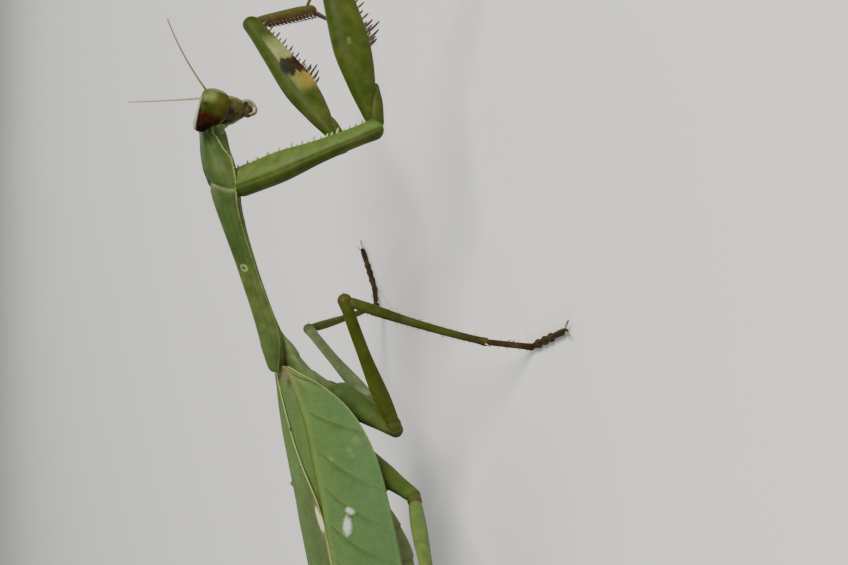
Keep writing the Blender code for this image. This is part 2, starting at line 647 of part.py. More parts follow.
def main():
    clear_scene()
    home = collection("praying_mantis")
    helpers = collection("cutters")
    green = (0.17, 0.27, 0.06)
    skins = {
        "head": material("head_cuticle", (0.16, 0.2, 0.04), 0.45),
        "eye": material("compound_eye", (0.14, 0.16, 0.03), 0.25),
        "body": material("body_cuticle", green, 0.5),
        "leg": material("leg_cuticle", (0.19, 0.28, 0.06), 0.45),
        "tarsus": material("foot_cuticle", (0.09, 0.08, 0.03), 0.5),
        "wing": material("wing_membrane", (0.15, 0.3, 0.09), 0.5),
        "mouth": material("mouth_cuticle", (0.35, 0.3, 0.15), 0.45),
        "antenna": material("antenna_cuticle", (0.3, 0.27, 0.15), 0.5),
    }

    # Head with its eyes, mouth and antennae
    head = head_shape("head", 0, skins["head"], home)
    head_clearance = head_shape("head_clearance", GAP, None, helpers)
    eye_clearances = []
    for side, word in ((1, "left"), (-1, "right")):
        eye_shape(f"eye_{word}", side, 0, skins["eye"], home)
        eye_clearances.append(eye_shape(f"eye_{word}_clearance", side, GAP, None, helpers))
    cut(head, *eye_clearances)
    mouthparts(skins["mouth"], home, helpers)
    for name, (side, first, last) in ANTENNAE.items():
        antenna(name, side, heading(*first), heading(*last), skins["antenna"], home)

    # Forebody, hindbody and wings
    pronotum_shape("pronotum", 0, skins["body"], home)
    pronotum_clearance = pronotum_shape("pronotum_clearance", GAP, None, helpers)
    neck_piece(skins["body"], home, head_clearance, pronotum_clearance, *eye_clearances)
    thorax_shape("thorax", 0, skins["body"], home)
    thorax_clearance = thorax_shape("thorax_clearance", GAP, None, helpers)
    abdomen_shape("abdomen", 0, skins["body"], home)
    abdomen_clearance = abdomen_shape("abdomen_clearance", GAP, None, helpers)
    for side, word in ((1, "left"), (-1, "right")):
        root = in_body(side * 0.75, ABDOMEN_REAR - 0.6, ridge(ABDOMEN_REAR) - 1.9)
        way = heading(180 - side * 18, 2)
        path = arc_path(root + way, root + way * 2.6, root + way * CERCUS_LENGTH, 6)
        tube(f"cercus_{word}", path, CERCUS_RADII, skins["body"], home)
    wing_piece("wing_left", 1, WING_THICK + GAP + 0.1, skins["wing"], home)
    wing_piece("wing_right", -1, 0.0, skins["wing"], home)

    # Legs
    for name, (side, *ways) in FORELEGS.items():
        base = in_body(side * FORE_HIP[0], *FORE_HIP[1:])
        ways = [heading(*way) for way in ways]
        fore_leg(name, -side, base, *ways, skins, home, helpers, (pronotum_clearance,))
    for name, (side, *ways) in WALKING_LEGS.items():
        hind = name.startswith("hind")
        hip, lengths = (HIND_HIP, HIND_LENGTHS) if hind else (MID_HIP, MID_LENGTHS)
        clear = (thorax_clearance, abdomen_clearance) if hind else (thorax_clearance,)
        base = in_body(side * hip[0], *hip[1:])
        ways = [heading(*way) for way in ways]
        walking_leg(name, base, lengths, *ways, skins, home, helpers, clear)

    for item in helpers.objects:
        item.hide_render = True
        item.display_type = "WIRE"


main()
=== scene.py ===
from math import cos, pi, radians, sin

import bpy
import numpy as np
from mathutils import Matrix, Vector


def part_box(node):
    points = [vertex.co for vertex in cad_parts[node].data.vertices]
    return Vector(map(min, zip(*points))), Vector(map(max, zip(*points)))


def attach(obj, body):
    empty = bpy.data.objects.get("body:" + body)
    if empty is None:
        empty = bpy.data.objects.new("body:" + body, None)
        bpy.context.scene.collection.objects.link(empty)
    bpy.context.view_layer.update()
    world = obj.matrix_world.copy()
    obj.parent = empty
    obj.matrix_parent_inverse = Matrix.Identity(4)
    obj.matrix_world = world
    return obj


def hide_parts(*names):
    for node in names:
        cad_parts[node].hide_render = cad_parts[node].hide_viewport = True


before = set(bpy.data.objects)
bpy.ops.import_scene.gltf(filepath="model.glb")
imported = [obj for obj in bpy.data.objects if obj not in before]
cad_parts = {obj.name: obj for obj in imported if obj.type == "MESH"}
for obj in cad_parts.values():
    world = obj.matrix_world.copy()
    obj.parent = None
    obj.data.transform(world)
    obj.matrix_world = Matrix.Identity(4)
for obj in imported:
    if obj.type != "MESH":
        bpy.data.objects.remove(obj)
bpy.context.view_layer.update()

# A large green praying mantis, standing. Lengths are in millimetres until a mesh is made.
# It faces -Y, its left side is +X, and up is +Z.
mm = 0.001
print("frame loaded:", len(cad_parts), "nodes")

stance = {
    "thoraxFromLow": (3.693, 6.45, 7.311),   # lowest corner of the thorax to its middle
    "lean": 3.0,                             # degrees, to the animal's right
    "headAt": (-0.35, -34.75, 11.35),        # from the middle of the thorax
    "headRoll": 20.0,
    "headNod": 15.7,
}
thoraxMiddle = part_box("thorax")[0] / mm + Vector(stance["thoraxFromLow"])
bodyFrame = Matrix.Translation(thoraxMiddle) @ Matrix.Rotation(radians(-stance["lean"]), 4, "Y")
headFrame = (
    Matrix.Translation(bodyFrame @ Vector(stance["headAt"]))
    @ Matrix.Rotation(radians(stance["headRoll"]), 4, "Y")
    @ Matrix.Rotation(radians(stance["headNod"]), 4, "X")
)


def moved(matrix, points):
    # points through a 4 x 4 matrix, any shape that ends in 3
    table = np.array(matrix)
    return np.asarray(points, float) @ table[:3, :3].T + table[:3, 3]


def inBody(*point):
    return moved(bodyFrame, point)


def inHead(*point):
    return moved(headFrame, point)


def unit(way):
    return np.asarray(way, float) / np.linalg.norm(way)


def heading(azimuth, elevation):
    # azimuth from straight ahead towards the animal's left, elevation above level
    a, e = radians(azimuth), radians(elevation)
    return np.array((sin(a) * cos(e), -cos(a) * cos(e), sin(e)))


def smoothLine(stops, value):
    # a smooth line through (place, amount) stops that never overshoots them
    x, y = (np.array(part, float) for part in zip(*stops))
    rise = np.diff(y) / np.diff(x)
    slope = np.concatenate([rise[:1], rise[1:], rise[-1:]])
    product = rise[:-1] * rise[1:]
    total = np.where(np.abs(rise[:-1] + rise[1:]) < 1e-9, 1.0, rise[:-1] + rise[1:])
    slope[1:-1] = np.where(product > 0, 2 * product / total, 0.0)
    value = np.clip(np.asarray(value, float), x[0], x[-1])
    k = np.clip(np.searchsorted(x, value) - 1, 0, len(x) - 2)
    run = x[k + 1] - x[k]
    t = (value - x[k]) / run
    ends = y[k] * (1 + 2 * t) * (1 - t) ** 2 + y[k + 1] * t * t * (3 - 2 * t)
    return ends + run * t * (1 - t) * (slope[k] * (1 - t) - slope[k + 1] * t)


def easeIn(low, high, value):
    t = np.clip((np.asarray(value, float) - low) / (high - low), 0, 1)
    return t * t * (3 - 2 * t)


def between(pair, t):
    return pair[0] + (pair[1] - pair[0]) * t


def hill(value, middle, width):
    return np.exp(-((value - middle) / width) ** 2)


def oval(u, middle, half, v, otherMiddle, otherHalf):
    # 1 on the rim of an oval patch, 0 at its middle
    return ((u - middle) / half) ** 2 + ((v - otherMiddle) / otherHalf) ** 2


def rounded(wave, square):
    # a sine or cosine pushed out towards a square
    return np.sign(wave) * np.abs(wave) ** (2 / square)


def linear(code):
    # sRGB hex to linear red, green and blue
    channels = np.array([int(code[i:i + 2], 16) / 255 for i in (0, 2, 4)])
    return np.where(channels <= 0.04045, channels / 12.92, ((channels + 0.055) / 1.055) ** 2.4)


def rgba(code):
    return (*linear(code), 1.0)


def ringPoints(rings):
    # every point of the rings, and the middles of the first and last
    return np.concatenate([rings.reshape(-1, 3), [rings[0].mean(0)], [rings[-1].mean(0)]])


def ringValues(values, shape, ends=(0, 0)):
    # one value for each of those points
    return np.concatenate([np.broadcast_to(values, shape).reshape(-1), ends])


def ringSkin(rings):
    # a closed skin through equal rings, drawn to a point at each end, facing out
    rows, count = rings.shape[:2]
    points = ringPoints(rings)
    row, col = np.arange(rows - 1)[:, None] * count, np.arange(count)[None, :]
    after = (col + 1) % count
    quads = np.stack([row + col, row + after, row + count + after, row + count + col], -1).reshape(-1, 4)
    i, j = np.arange(count), (np.arange(count) + 1) % count
    first = np.stack([j, i, np.full(count, rows * count)], -1)
    last = np.stack([i + (rows - 1) * count, j + (rows - 1) * count, np.full(count, rows * count + 1)], -1)
    a, b, c, d = (points[quads[:, k]] for k in range(4))
    size = np.einsum("ij,ij->i", a, np.cross(b, c)).sum() + np.einsum("ij,ij->i", a, np.cross(c, d)).sum()
    faces = quads.tolist() + first.tolist() + last.tolist()
    return points, faces if size > 0 else [face[::-1] for face in faces]


def placeObject(name, points, edges, faces):
    mesh = bpy.data.meshes.new(name)
    mesh.from_pydata((points * mm).tolist(), edges, faces)
    mesh.shade_smooth()
    made = bpy.data.objects.new(name, mesh)
    bpy.context.scene.collection.objects.link(made)
    return made


def makeObject(name, skins):
    # one object from (points, faces) skins, its place in its mesh
    points, faces = [], []
    for some, their in skins:
        shift = sum(len(p) for p in points)
        points.append(some)
        faces += [[k + shift for k in face] for face in their]
    return placeObject(name, np.concatenate(points), [], faces)


def settle(item):
    # turns what the modifiers make into the object's own mesh
    bpy.context.view_layer.update()
    made = bpy.data.meshes.new_from_object(item.evaluated_get(bpy.context.evaluated_depsgraph_get()))
    item.modifiers.clear()
    item.data = made
    made.shade_smooth()
    return item


def placesOf(item):
    flat = np.empty(len(item.data.vertices) * 3)
    item.data.vertices.foreach_get("co", flat)
    return flat.reshape(-1, 3) / mm


def keepOn(item, name, values, kind="FLOAT"):
    # stores one value for each point of a mesh
    store = item.data.attributes.new(name, kind, "POINT")
    field = {"FLOAT": "value", "FLOAT_VECTOR": "vector", "FLOAT_COLOR": "color"}[kind]
    store.data.foreach_set(field, np.asarray(values, np.float32).reshape(-1))


def paint(item, base, *layers):
    # a base colour with (mask, hex) layers over it, kept on the mesh as "tint"
    count = len(item.data.vertices)
    tint = np.tile(linear(base), (count, 1))
    for mask, code in layers:
        tint += (linear(code) - tint) * np.clip(mask, 0, 1)[:, None]
    keepOn(item, "tint", np.concatenate([tint, np.ones((count, 1))], 1), "FLOAT_COLOR")


def finishPiece(item, material, slot, *nodes):
    if material:
        item.data.materials.clear()
        item.data.materials.append(material)
    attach(item, "root")
    if nodes:
        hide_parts(*nodes)
    return item


def addNode(tree, kind, settings=None, links=None):
    # settings name a property or an input. Links name an input and give the socket it comes
    # from, or a node in place of its first output
    node = tree.nodes.new(kind)
    for key, value in (settings or {}).items():
        if isinstance(key, str) and hasattr(node, key):
            setattr(node, key, value)
        else:
            node.inputs[key].default_value = value
    for key, source in (links or {}).items():
        tree.links.new(source.outputs[0] if hasattr(source, "outputs") else source, node.inputs[key])
    return node


def startMaterial(name):
    made = bpy.data.materials.new(name)
    made.use_nodes = True
    made.node_tree.nodes.clear()
    return made, made.node_tree


def endMaterial(made, settings, links):
    tree = made.node_tree
    shader = addNode(tree, "ShaderNodeBsdfPrincipled", settings, links)
    addNode(tree, "ShaderNodeOutputMaterial", None, {"Surface": shader})
    return made


# Cuticle: chitin as it hardened, with a thin wax over it. Satin, faintly mottled, with fine pits.
# Sizes of the mottle and the pits in millimetres, how much each shows, the range of roughness,
# a second colour and its share, and the shine.
cuticleKeys = ("mottle", "depth", "grain", "relief", "rough", "second", "share", "shine")
cuticles = {
    "shieldCuticle": (1.6, 0.24, 0.16, 0.35, (0.46, 0.62), "5f6437", 0.3, 0.17),
    "limbCuticle": (1.3, 0.22, 0.12, 0.22, (0.44, 0.6), "5b5727", 0.28, 0.1),
    "faceCuticle": (0.7, 0.26, 0.09, 0.25, (0.42, 0.56), "655f31", 0.3, 0.17),
    "bellyCuticle": (1.8, 0.2, 0.14, 0.3, (0.5, 0.64), "606941", 0.25, 0.17),
    "mouthCuticle": (0.5, 0.2, 0.08, 0.2, (0.42, 0.56), "7c6f43", 0.3, 0.17),
    "feelerCuticle": (0.8, 0.2, 0.06, 0.2, (0.46, 0.6), "8d7c50", 0.3, 0.17),
    # the soft skin between plates has folds in place of pits
    "jointSkin": (0.6, 0.2, 0.22, 0.5, (0.42, 0.6), "5f6a38", 0.35, 0.17),
}
noiseSpan = {"From Min": 0.3, "From Max": 0.7}   # most of a noise texture lies between these


def cuticle(name):
    look = dict(zip(cuticleKeys, cuticles[name]))
    made, tree = startMaterial(name)
    place = addNode(tree, "ShaderNodeTexCoord").outputs["Object"]
    tint = addNode(tree, "ShaderNodeAttribute", {"attribute_name": "tint"})
    cloud = addNode(tree, "ShaderNodeTexNoise", {"Scale": 1 / (look["mottle"] * mm), "Detail": 3.0,
                    "Roughness": 0.6}, {"Vector": place})
    spot = addNode(tree, "ShaderNodeTexNoise", {"Scale": 0.4 / (look["mottle"] * mm), "Detail": 2.0},
                   {"Vector": place})
    pit = addNode(tree, "ShaderNodeTexNoise", {"Scale": 1 / (look["grain"] * mm), "Detail": 2.0,
                  "Roughness": 0.55}, {"Vector": place})
    amount = addNode(tree, "ShaderNodeMapRange", {"From Min": 0.42, "From Max": 0.7, "To Min": 0.0,
                     "To Max": look["share"]}, {"Value": spot})
    mixed = addNode(tree, "ShaderNodeMix", {"data_type": "RGBA", 7: rgba(look["second"])},
                    {0: amount, 6: tint.outputs["Color"]})
    shade = addNode(tree, "ShaderNodeMapRange", {**noiseSpan, "To Min": 1 - look["depth"],
                    "To Max": 1 + look["depth"]}, {"Value": cloud})
    fine = addNode(tree, "ShaderNodeMapRange", {**noiseSpan, "To Min": 0.93, "To Max": 1.07}, {"Value": pit})
    both = addNode(tree, "ShaderNodeMath", {"operation": "MULTIPLY"}, {0: shade, 1: fine})
    toned = addNode(tree, "ShaderNodeVectorMath", {"operation": "SCALE"},
                    {0: mixed.outputs[2], "Scale": both})
    rough = addNode(tree, "ShaderNodeMapRange", {**noiseSpan, "To Min": look["rough"][0],
                    "To Max": look["rough"][1]}, {"Value": cloud})
    bump = addNode(tree, "ShaderNodeBump", {"Strength": look["relief"], "Distance": 0.05 * mm},
                   {"Height": pit})
    return endMaterial(made, {"IOR": 1.5, "Specular IOR Level": look["shine"], "Subsurface Weight": 0.06,
                              "Subsurface Scale": 0.4 * mm},
                       {"Base Color": toned, "Roughness": rough, "Normal": bump})


skinOf = {name: cuticle(name) for name in cuticles}
print("cuticle materials made")


def startTree(name, inputs):
    # inputs gives (name, kind, value) for each, after the geometry that comes in
    tree = bpy.data.node_groups.new(name, "GeometryNodeTree")
    for label, kind, value in (("Shape", "Geometry", None), *inputs, ("Finish", "Material", None)):
        socket = tree.interface.new_socket(label, in_out="INPUT", socket_type="NodeSocket" + kind)
        if value is not None:
            socket.default_value = value
    tree.interface.new_socket("Made", in_out="OUTPUT", socket_type="NodeSocketGeometry")
    return tree, addNode(tree, "NodeGroupInput")


def endTree(tree, given, shape):
    real = addNode(tree, "GeometryNodeRealizeInstances", None, {"Geometry": shape})
    dressed = addNode(tree, "GeometryNodeSetMaterial", None,
                      {"Geometry": real, "Material": given.outputs["Finish"]})
    addNode(tree, "NodeGroupOutput", None, {0: dressed})
    return tree


# Tubes along a path, plain or in beads: feelers, palps and tails.
# The path is a mesh of edges with "thick", a radius, and "beat", which counts the beads.
def tubeTree():
    tree, given = startTree("tubeAlongPath", (("Spacing", "Float", 0.1 * mm), ("Swell", "Float", 0.0),
                                              ("Sides", "Int", 10)))
    line = addNode(tree, "GeometryNodeMeshToCurve", None, {"Mesh": given.outputs["Shape"]})
    even = addNode(tree, "GeometryNodeResampleCurve", {"mode": "LENGTH"},
                   {"Curve": line, "Length": given.outputs["Spacing"]})
    thick = addNode(tree, "GeometryNodeInputNamedAttribute", {"data_type": "FLOAT", "Name": "thick"})
    beat = addNode(tree, "GeometryNodeInputNamedAttribute", {"data_type": "FLOAT", "Name": "beat"})
    turn = addNode(tree, "ShaderNodeMath", {"operation": "MULTIPLY", 1: pi}, {0: beat})
    wave = addNode(tree, "ShaderNodeMath", {"operation": "SINE"}, {0: turn})
    upright = addNode(tree, "ShaderNodeMath", {"operation": "ABSOLUTE"}, {0: wave})
    swell = addNode(tree, "ShaderNodeMath", {"operation": "MULTIPLY"},
                    {0: upright, 1: given.outputs["Swell"]})
    full = addNode(tree, "ShaderNodeMath", {"operation": "ADD", 1: 1.0}, {0: swell})
    size = addNode(tree, "ShaderNodeMath", {"operation": "MULTIPLY"}, {0: full, 1: thick})
    circle = addNode(tree, "GeometryNodeCurvePrimitiveCircle", {"Radius": 1.0},
                     {"Resolution": given.outputs["Sides"]})
    tube = addNode(tree, "GeometryNodeCurveToMesh", {"Fill Caps": True},
                   {"Curve": even, "Profile Curve": circle, "Scale": size})
    return endTree(tree, given, tube)


# Tapering spines on single points: "way" and "lean" turn each one, "size" is its length,
# "thick" its radius at the root and "tone" how dark it is. The tip leans over by Bend radii.
def spineTree():
    tree, given = startTree("spinesOnPoints", (("Bend", "Float", 1.0), ("Sides", "Int", 8),
                                               ("Steps", "Int", 5)))
    over = addNode(tree, "ShaderNodeCombineXYZ", {"Z": 1.0}, {"X": given.outputs["Bend"]})
    line = addNode(tree, "GeometryNodeCurveQuadraticBezier", {"Start": (0, 0, 0), "Middle": (0, 0, 0.6)},
                   {"Resolution": given.outputs["Steps"], "End": over})
    along = addNode(tree, "GeometryNodeSplineParameter")
    marked = addNode(tree, "GeometryNodeStoreNamedAttribute", {"data_type": "FLOAT", "Name": "tip"},
                     {"Geometry": line, "Value": along.outputs["Factor"]})
    left = addNode(tree, "ShaderNodeMath", {"operation": "SUBTRACT", 0: 1.02}, {1: along.outputs["Factor"]})
    taper = addNode(tree, "ShaderNodeMath", {"operation": "POWER", 1: 0.93}, {0: left})
    circle = addNode(tree, "GeometryNodeCurvePrimitiveCircle", {"Radius": 1.0},
                     {"Resolution": given.outputs["Sides"]})
    cone = addNode(tree, "GeometryNodeCurveToMesh", {"Fill Caps": True},
                   {"Curve": marked, "Profile Curve": circle, "Scale": taper})
    read = {label: addNode(tree, "GeometryNodeInputNamedAttribute", {"data_type": kind, "Name": label})
            for label, kind in (("way", "FLOAT_VECTOR"), ("lean", "FLOAT_VECTOR"), ("size", "FLOAT"),
                                ("thick", "FLOAT"))}
    stood = addNode(tree, "FunctionNodeAlignRotationToVector", {"axis": "Z"}, {"Vector": read["way"]})
    turned = addNode(tree, "FunctionNodeAlignRotationToVector", {"axis": "X", "pivot_axis": "Z"},
                     {"Rotation": stood, "Vector": read["lean"]})
    scale = addNode(tree, "ShaderNodeCombineXYZ", None,
                    {"X": read["thick"], "Y": read["thick"], "Z": read["size"]})
    placed = addNode(tree, "GeometryNodeInstanceOnPoints", None,
                     {"Points": given.outputs["Shape"], "Instance": cone, "Rotation": turned,
                      "Scale": scale})
    return endTree(tree, given, placed)


tubes, spikes = tubeTree(), spineTree()


def runTree(item, tree, values):
    # sets a tree's inputs by their identifiers and keeps what it makes
    step = item.modifiers.new(tree.name, "NODES")
    step.node_group = tree
    for socket in tree.interface.items_tree:
        if socket.in_out == "INPUT" and socket.name in values:
            step[socket.identifier] = values[socket.name]
    return settle(item)


def tubesAlong(name, paths, finish, swell=0.0, spacing=0.1, sides=10):
    # paths gives (points, radii, beats) for each tube, in millimetres
    points, thick, beat = (np.concatenate(part) for part in zip(*paths))
    edges, start = [], 0
    for path, _, _ in paths:
        edges += [(start + i, start + i + 1) for i in range(len(path) - 1)]
        start += len(path)
    made = placeObject(name, points, edges, [])
    keepOn(made, "thick", thick * mm)
    keepOn(made, "beat", beat)
    return runTree(made, tubes, {"Spacing": spacing * mm, "Swell": swell, "Sides": sides, "Finish": finish})


def spinesAt(name, roots, finish, bend=1.0, sides=8, steps=5):
    # roots gives (place, way, lean, length, radius, tone) for each spine, in millimetres
    place, way, lean, size, thick, tone = (np.array(part, float) for part in zip(*roots))
    made = placeObject(name, place, [], [])
    keepOn(made, "way", way, "FLOAT_VECTOR")
    keepOn(made, "lean", lean, "FLOAT_VECTOR")
    for label, values in (("size", size * mm), ("thick", thick * mm), ("tone", tone)):
        keepOn(made, label, values)
    return runTree(made, spikes, {"Bend": bend, "Sides": sides, "Steps": steps, "Finish": finish})


# Spine and claw: the hardest, darkest chitin, glossy, pale at the root where it is young.
hornLook = {"root": "949866", "middle": "3c1a0e", "tip": "120c0a", "rough": 0.26, "bend": 1.56}


def spineHorn():
    made, tree = startMaterial("spineHorn")
    tip = addNode(tree, "ShaderNodeAttribute", {"attribute_name": "tip"})
    tone = addNode(tree, "ShaderNodeAttribute", {"attribute_name": "tone"})
    reach = addNode(tree, "ShaderNodeMath", {"operation": "ADD"},
                    {0: tip.outputs["Fac"], 1: tone.outputs["Fac"]})
    dark = addNode(tree, "ShaderNodeMapRange", {"From Min": 0.55, "From Max": 1.0}, {"Value": reach})
    black = addNode(tree, "ShaderNodeMapRange", {"From Min": 1.1, "From Max": 1.7}, {"Value": reach})
    warm = addNode(tree, "ShaderNodeMix", {"data_type": "RGBA", 6: rgba(hornLook["root"]),
                   7: rgba(hornLook["middle"])}, {0: dark})
    deep = addNode(tree, "ShaderNodeMix", {"data_type": "RGBA", 7: rgba(hornLook["tip"])},
                   {0: black, 6: warm.outputs[2]})
    return endMaterial(made, {"Roughness": hornLook["rough"], "IOR": hornLook["bend"]},
                       {"Base Color": deep.outputs[2]})


horn = spineHorn()
print("node trees made")


def lengthwise(points, count):
    # a smooth path through points, count places on it
    points = np.array(points, float)
    run = np.concatenate([[0], np.cumsum(np.linalg.norm(np.diff(points, axis=0), axis=1))])
    place = np.linspace(0, run[-1], count)
    return np.stack([smoothLine(list(zip(run, points[:, k])), place) for k in range(3)], 1)


def bendThrough(start, lean, end, t):
    # from start to end, drawn towards the point between them
    return start * (1 - t) ** 2 + lean * 2 * t * (1 - t) + end * t ** 2


def arcTo(start, firstWay, lastWay, length, share, count):
    # leaves along firstWay for a share of the length and ends along lastWay
    lean = start + firstWay * length * share
    return bendThrough(start, lean, lean + lastWay * length * (1 - share), np.linspace(0, 1, count)[:, None])


def normalsOf(item):
    flat = np.empty(len(item.data.vertices) * 3)
    item.data.vertex_normals.foreach_get("vector", flat)
    return flat.reshape(-1, 3)


def setPlaces(item, places):
    item.data.vertices.foreach_set("co", (places * mm).reshape(-1))
    item.data.update()


def push(item, amount):
    # moves each point along its normal by an amount in millimetres
    setPlaces(item, placesOf(item) + normalsOf(item) * np.asarray(amount)[:, None])


def fuseSkins(name, skins, voxel, passes=3):
    # joins overlapping skins into one. The voxel tool needs sizes near 1, so it works on a
    # copy a thousand times life size
    made = makeObject(name, skins)
    made.data.transform(Matrix.Scale(1 / mm, 4))
    melt = made.modifiers.new("melt", "REMESH")
    melt.mode = "VOXEL"
    melt.voxel_size = voxel
    soft = made.modifiers.new("soften", "SMOOTH")
    soft.iterations = passes
    settle(made)
    made.data.transform(Matrix.Scale(mm, 4))
    made.data.shade_smooth()
    return made


# The folded forewings. Reach is the distance from the ridge line round to the side and down,
# y the distance behind the middle of the thorax.
wing = {
    "front": -3.3, "rear": 46.5, "costalReach": 12.0,
    "rows": 300, "across": 104, "thick": 0.16,
    "ridgeHeight": 2.75, "ridgeFall": 0.213,
    "hindEdge": ((-3.3, -2.2), (-0.8, -2.0), (1.9, -1.35), (5.3, -0.45), (8.8, 0.75), (12.1, 2.5),
                 (14.2, 3.2), (17, 3.5), (26, 3.5), (36, 2.6), (46.5, 0.25)),
    "underEdge": ((-3.3, -0.4), (-0.8, 1.9), (1.9, 2.6), (5.3, 3.0), (12.1, 3.4), (26, 3.4),
                  (36, 2.5), (46.5, 0.25)),
    "mainVein": ((-3.3, 2.0), (-1, 3.0), (1.5, 3.6), (4.3, 3.94), (11, 3.86), (14.6, 3.8),
                 (18.2, 3.45), (22, 3.4), (34, 2.6), (46.5, 0.3)),
    "sideVeins": 4.7,        # spacing of the strong side veins along the main one
    # faint pale spots on the side: y, reach and radius
    "paleSpots": ((6.1, 9.6, 0.6), (7.2, 8.4, 0.35), (8.0, 8.7, 0.28), (8.3, 5.9, 0.3)),
    # the strip and overlap colours are their own olive and grey tones, darkened further as painted shade
    "leaf": "425c27", "leafBlue": "426037", "strip": "4a602a", "rearGreen": "516529",
    # groove is a dark green used as painted shade in the hollows behind the veins; it also darkens a patch at
    # the base and a line by the white mark
    "veinGreen": "56692e", "groove": "273e10", "paleEdge": "98a062", "overlap": "43502f",
    "tan": "67603a", "stigma": "ccc79a", "stigmaRim": "5f5638", "chalk": "c9d3c8",
    "under": "3d5020", "speck": "1c1d14", "net": "6f8545",
}
foldReach = np.linspace(0, 18, 1801)
foldTurn = np.radians(4 + 70 * easeIn(1.0, 7.2, foldReach))
foldOut = np.concatenate([[0], np.cumsum(np.cos(foldTurn))[:-1] * 0.01])
foldDown = np.concatenate([[0], np.cumsum(np.sin(foldTurn))[:-1] * 0.01])


def ridgeAt(y):
    return wing["ridgeHeight"] - wing["ridgeFall"] * y


def wingSpot(side, y, reach, lift):
    r = np.abs(reach)
    turn = np.interp(r, foldReach, foldTurn)
    x = np.interp(r, foldReach, foldOut) + np.sin(turn) * lift
    z = np.cos(turn) * lift - np.interp(r, foldReach, foldDown)
    x = x * smoothLine(((-3.3, 0.82), (9, 1.0), (30, 1.0), (46, 0.7)), y) * np.sign(reach + 1e-9)
    return moved(bodyFrame, np.stack([side * x, y, ridgeAt(y) + z], -1))


def innerReach(y, upper):
    return -smoothLine(wing["hindEdge" if upper else "underEdge"], y)


def outerReach(y):
    end = (y - wing["front"]) / (wing["rear"] - wing["front"])
    grown = wing["costalReach"] * (1 - np.exp(-(y - wing["front"] + 1.0) / 4.3))
    return grown * (1 - np.clip((end - 0.42) / 0.58, 0, 1) ** 2.6) ** 0.8 + 0.35


def wingVeins(y, reach):
    # masks that both the relief and the colours use
    main = smoothLine(wing["mainVein"], y)
    off = reach - main
    # side veins leave the main one at a slant and straighten towards the margin
    bend = 6 * (1 - np.exp(-np.maximum(off, 0) / 6))
    slant = ((-3, 0.6), (4, 0.9), (8.6, 1.35), (30, 1.35), (46, 1.0))
    root = y - bend * smoothLine(slant, y - bend)
    costal = easeIn(0.3, 1.0, off)
    beat = (root / wing["sideVeins"] - 0.355) % 1.0
    side = easeIn(0.45, 0.5, np.abs(beat - 0.5))
    shade = hill(beat, 0.11, 0.07) * smoothLine(((0, 0.4), (3, 1), (7, 0.3)), off)
    fine = np.abs((root / (wing["sideVeins"] / 4) % 1.0) - 0.5) * 2
    lines = np.abs((off / np.maximum(main + smoothLine(wing["hindEdge"], y), 0.8) * 7) % 1.0 - 0.5) * 2
    return off, costal, side, shade, easeIn(0.85, 1.0, fine) * costal, easeIn(0.8, 1.0, lines)


def makeWing(name, side, upper):
    rows, across = wing["rows"], wing["across"]
    t = np.linspace(0, 1, rows)
    y = wing["front"] + (wing["rear"] - wing["front"]) * np.where(t < 0.9, t, 0.9 + (t - 0.9) * (1.9 - t))
    inner, outer = innerReach(y, upper), outerReach(y)
    s = np.linspace(0, 1, across)
    reach = inner[:, None] + (outer - inner)[:, None] * s[None, :]
    grid = np.broadcast_to(y[:, None], reach.shape)
    off, costal, sideVein, shade, fine, lines = wingVeins(grid, reach)
    edge = np.minimum(reach - inner[:, None], outer[:, None] - reach)
    relief = 0.2 * hill(off, 0.05, 0.42) - 0.09 * hill(off, -0.5, 0.13)
    relief += costal * (0.08 * sideVein - 0.2 * shade) + 0.02 * fine
    relief += 0.35 * upper * hill(grid, 12.5, 0.28) * hill(reach, 2.8, 0.3)
    relief += 0.025 * lines * (1 - costal) * easeIn(-0.5, -1.0, off)
    relief += 0.12 * hill(edge, 0.12, 0.2)
    relief *= easeIn(0, 0.25, edge)
    if upper:
        # the upper wing settles on the lower one where its hind edge crosses the back
        resting = 0.27 + 0.15 * easeIn(8, 14, grid)
        lift = resting + (0.92 - resting) * easeIn(0.2, 3.7, reach - inner[:, None])
    else:
        lift = np.full(reach.shape, 0.08)
    half = wing["thick"] / 2 * np.sqrt(np.clip(edge / 0.1, 0.05, 1))
    top = wingSpot(side, grid, reach, lift + half + relief)
    low = wingSpot(side, grid, reach, lift - half + relief * 0.5)
    rings = np.concatenate([top, low[:, ::-1]], 1)
    made = makeObject(name, [ringSkin(rings)])
    shape = (rows, across * 2)
    allReach = ringValues(np.concatenate([reach, reach[:, ::-1]], 1), shape)
    allY = ringValues(y[:, None], shape, (y[0], y[-1]))
    keepOn(made, "spread", np.stack([allReach, allY, np.zeros_like(allY)], -1), "FLOAT_VECTOR")
    return made, allY, allReach, ringValues(np.repeat((0.0, 1.0), across), shape)


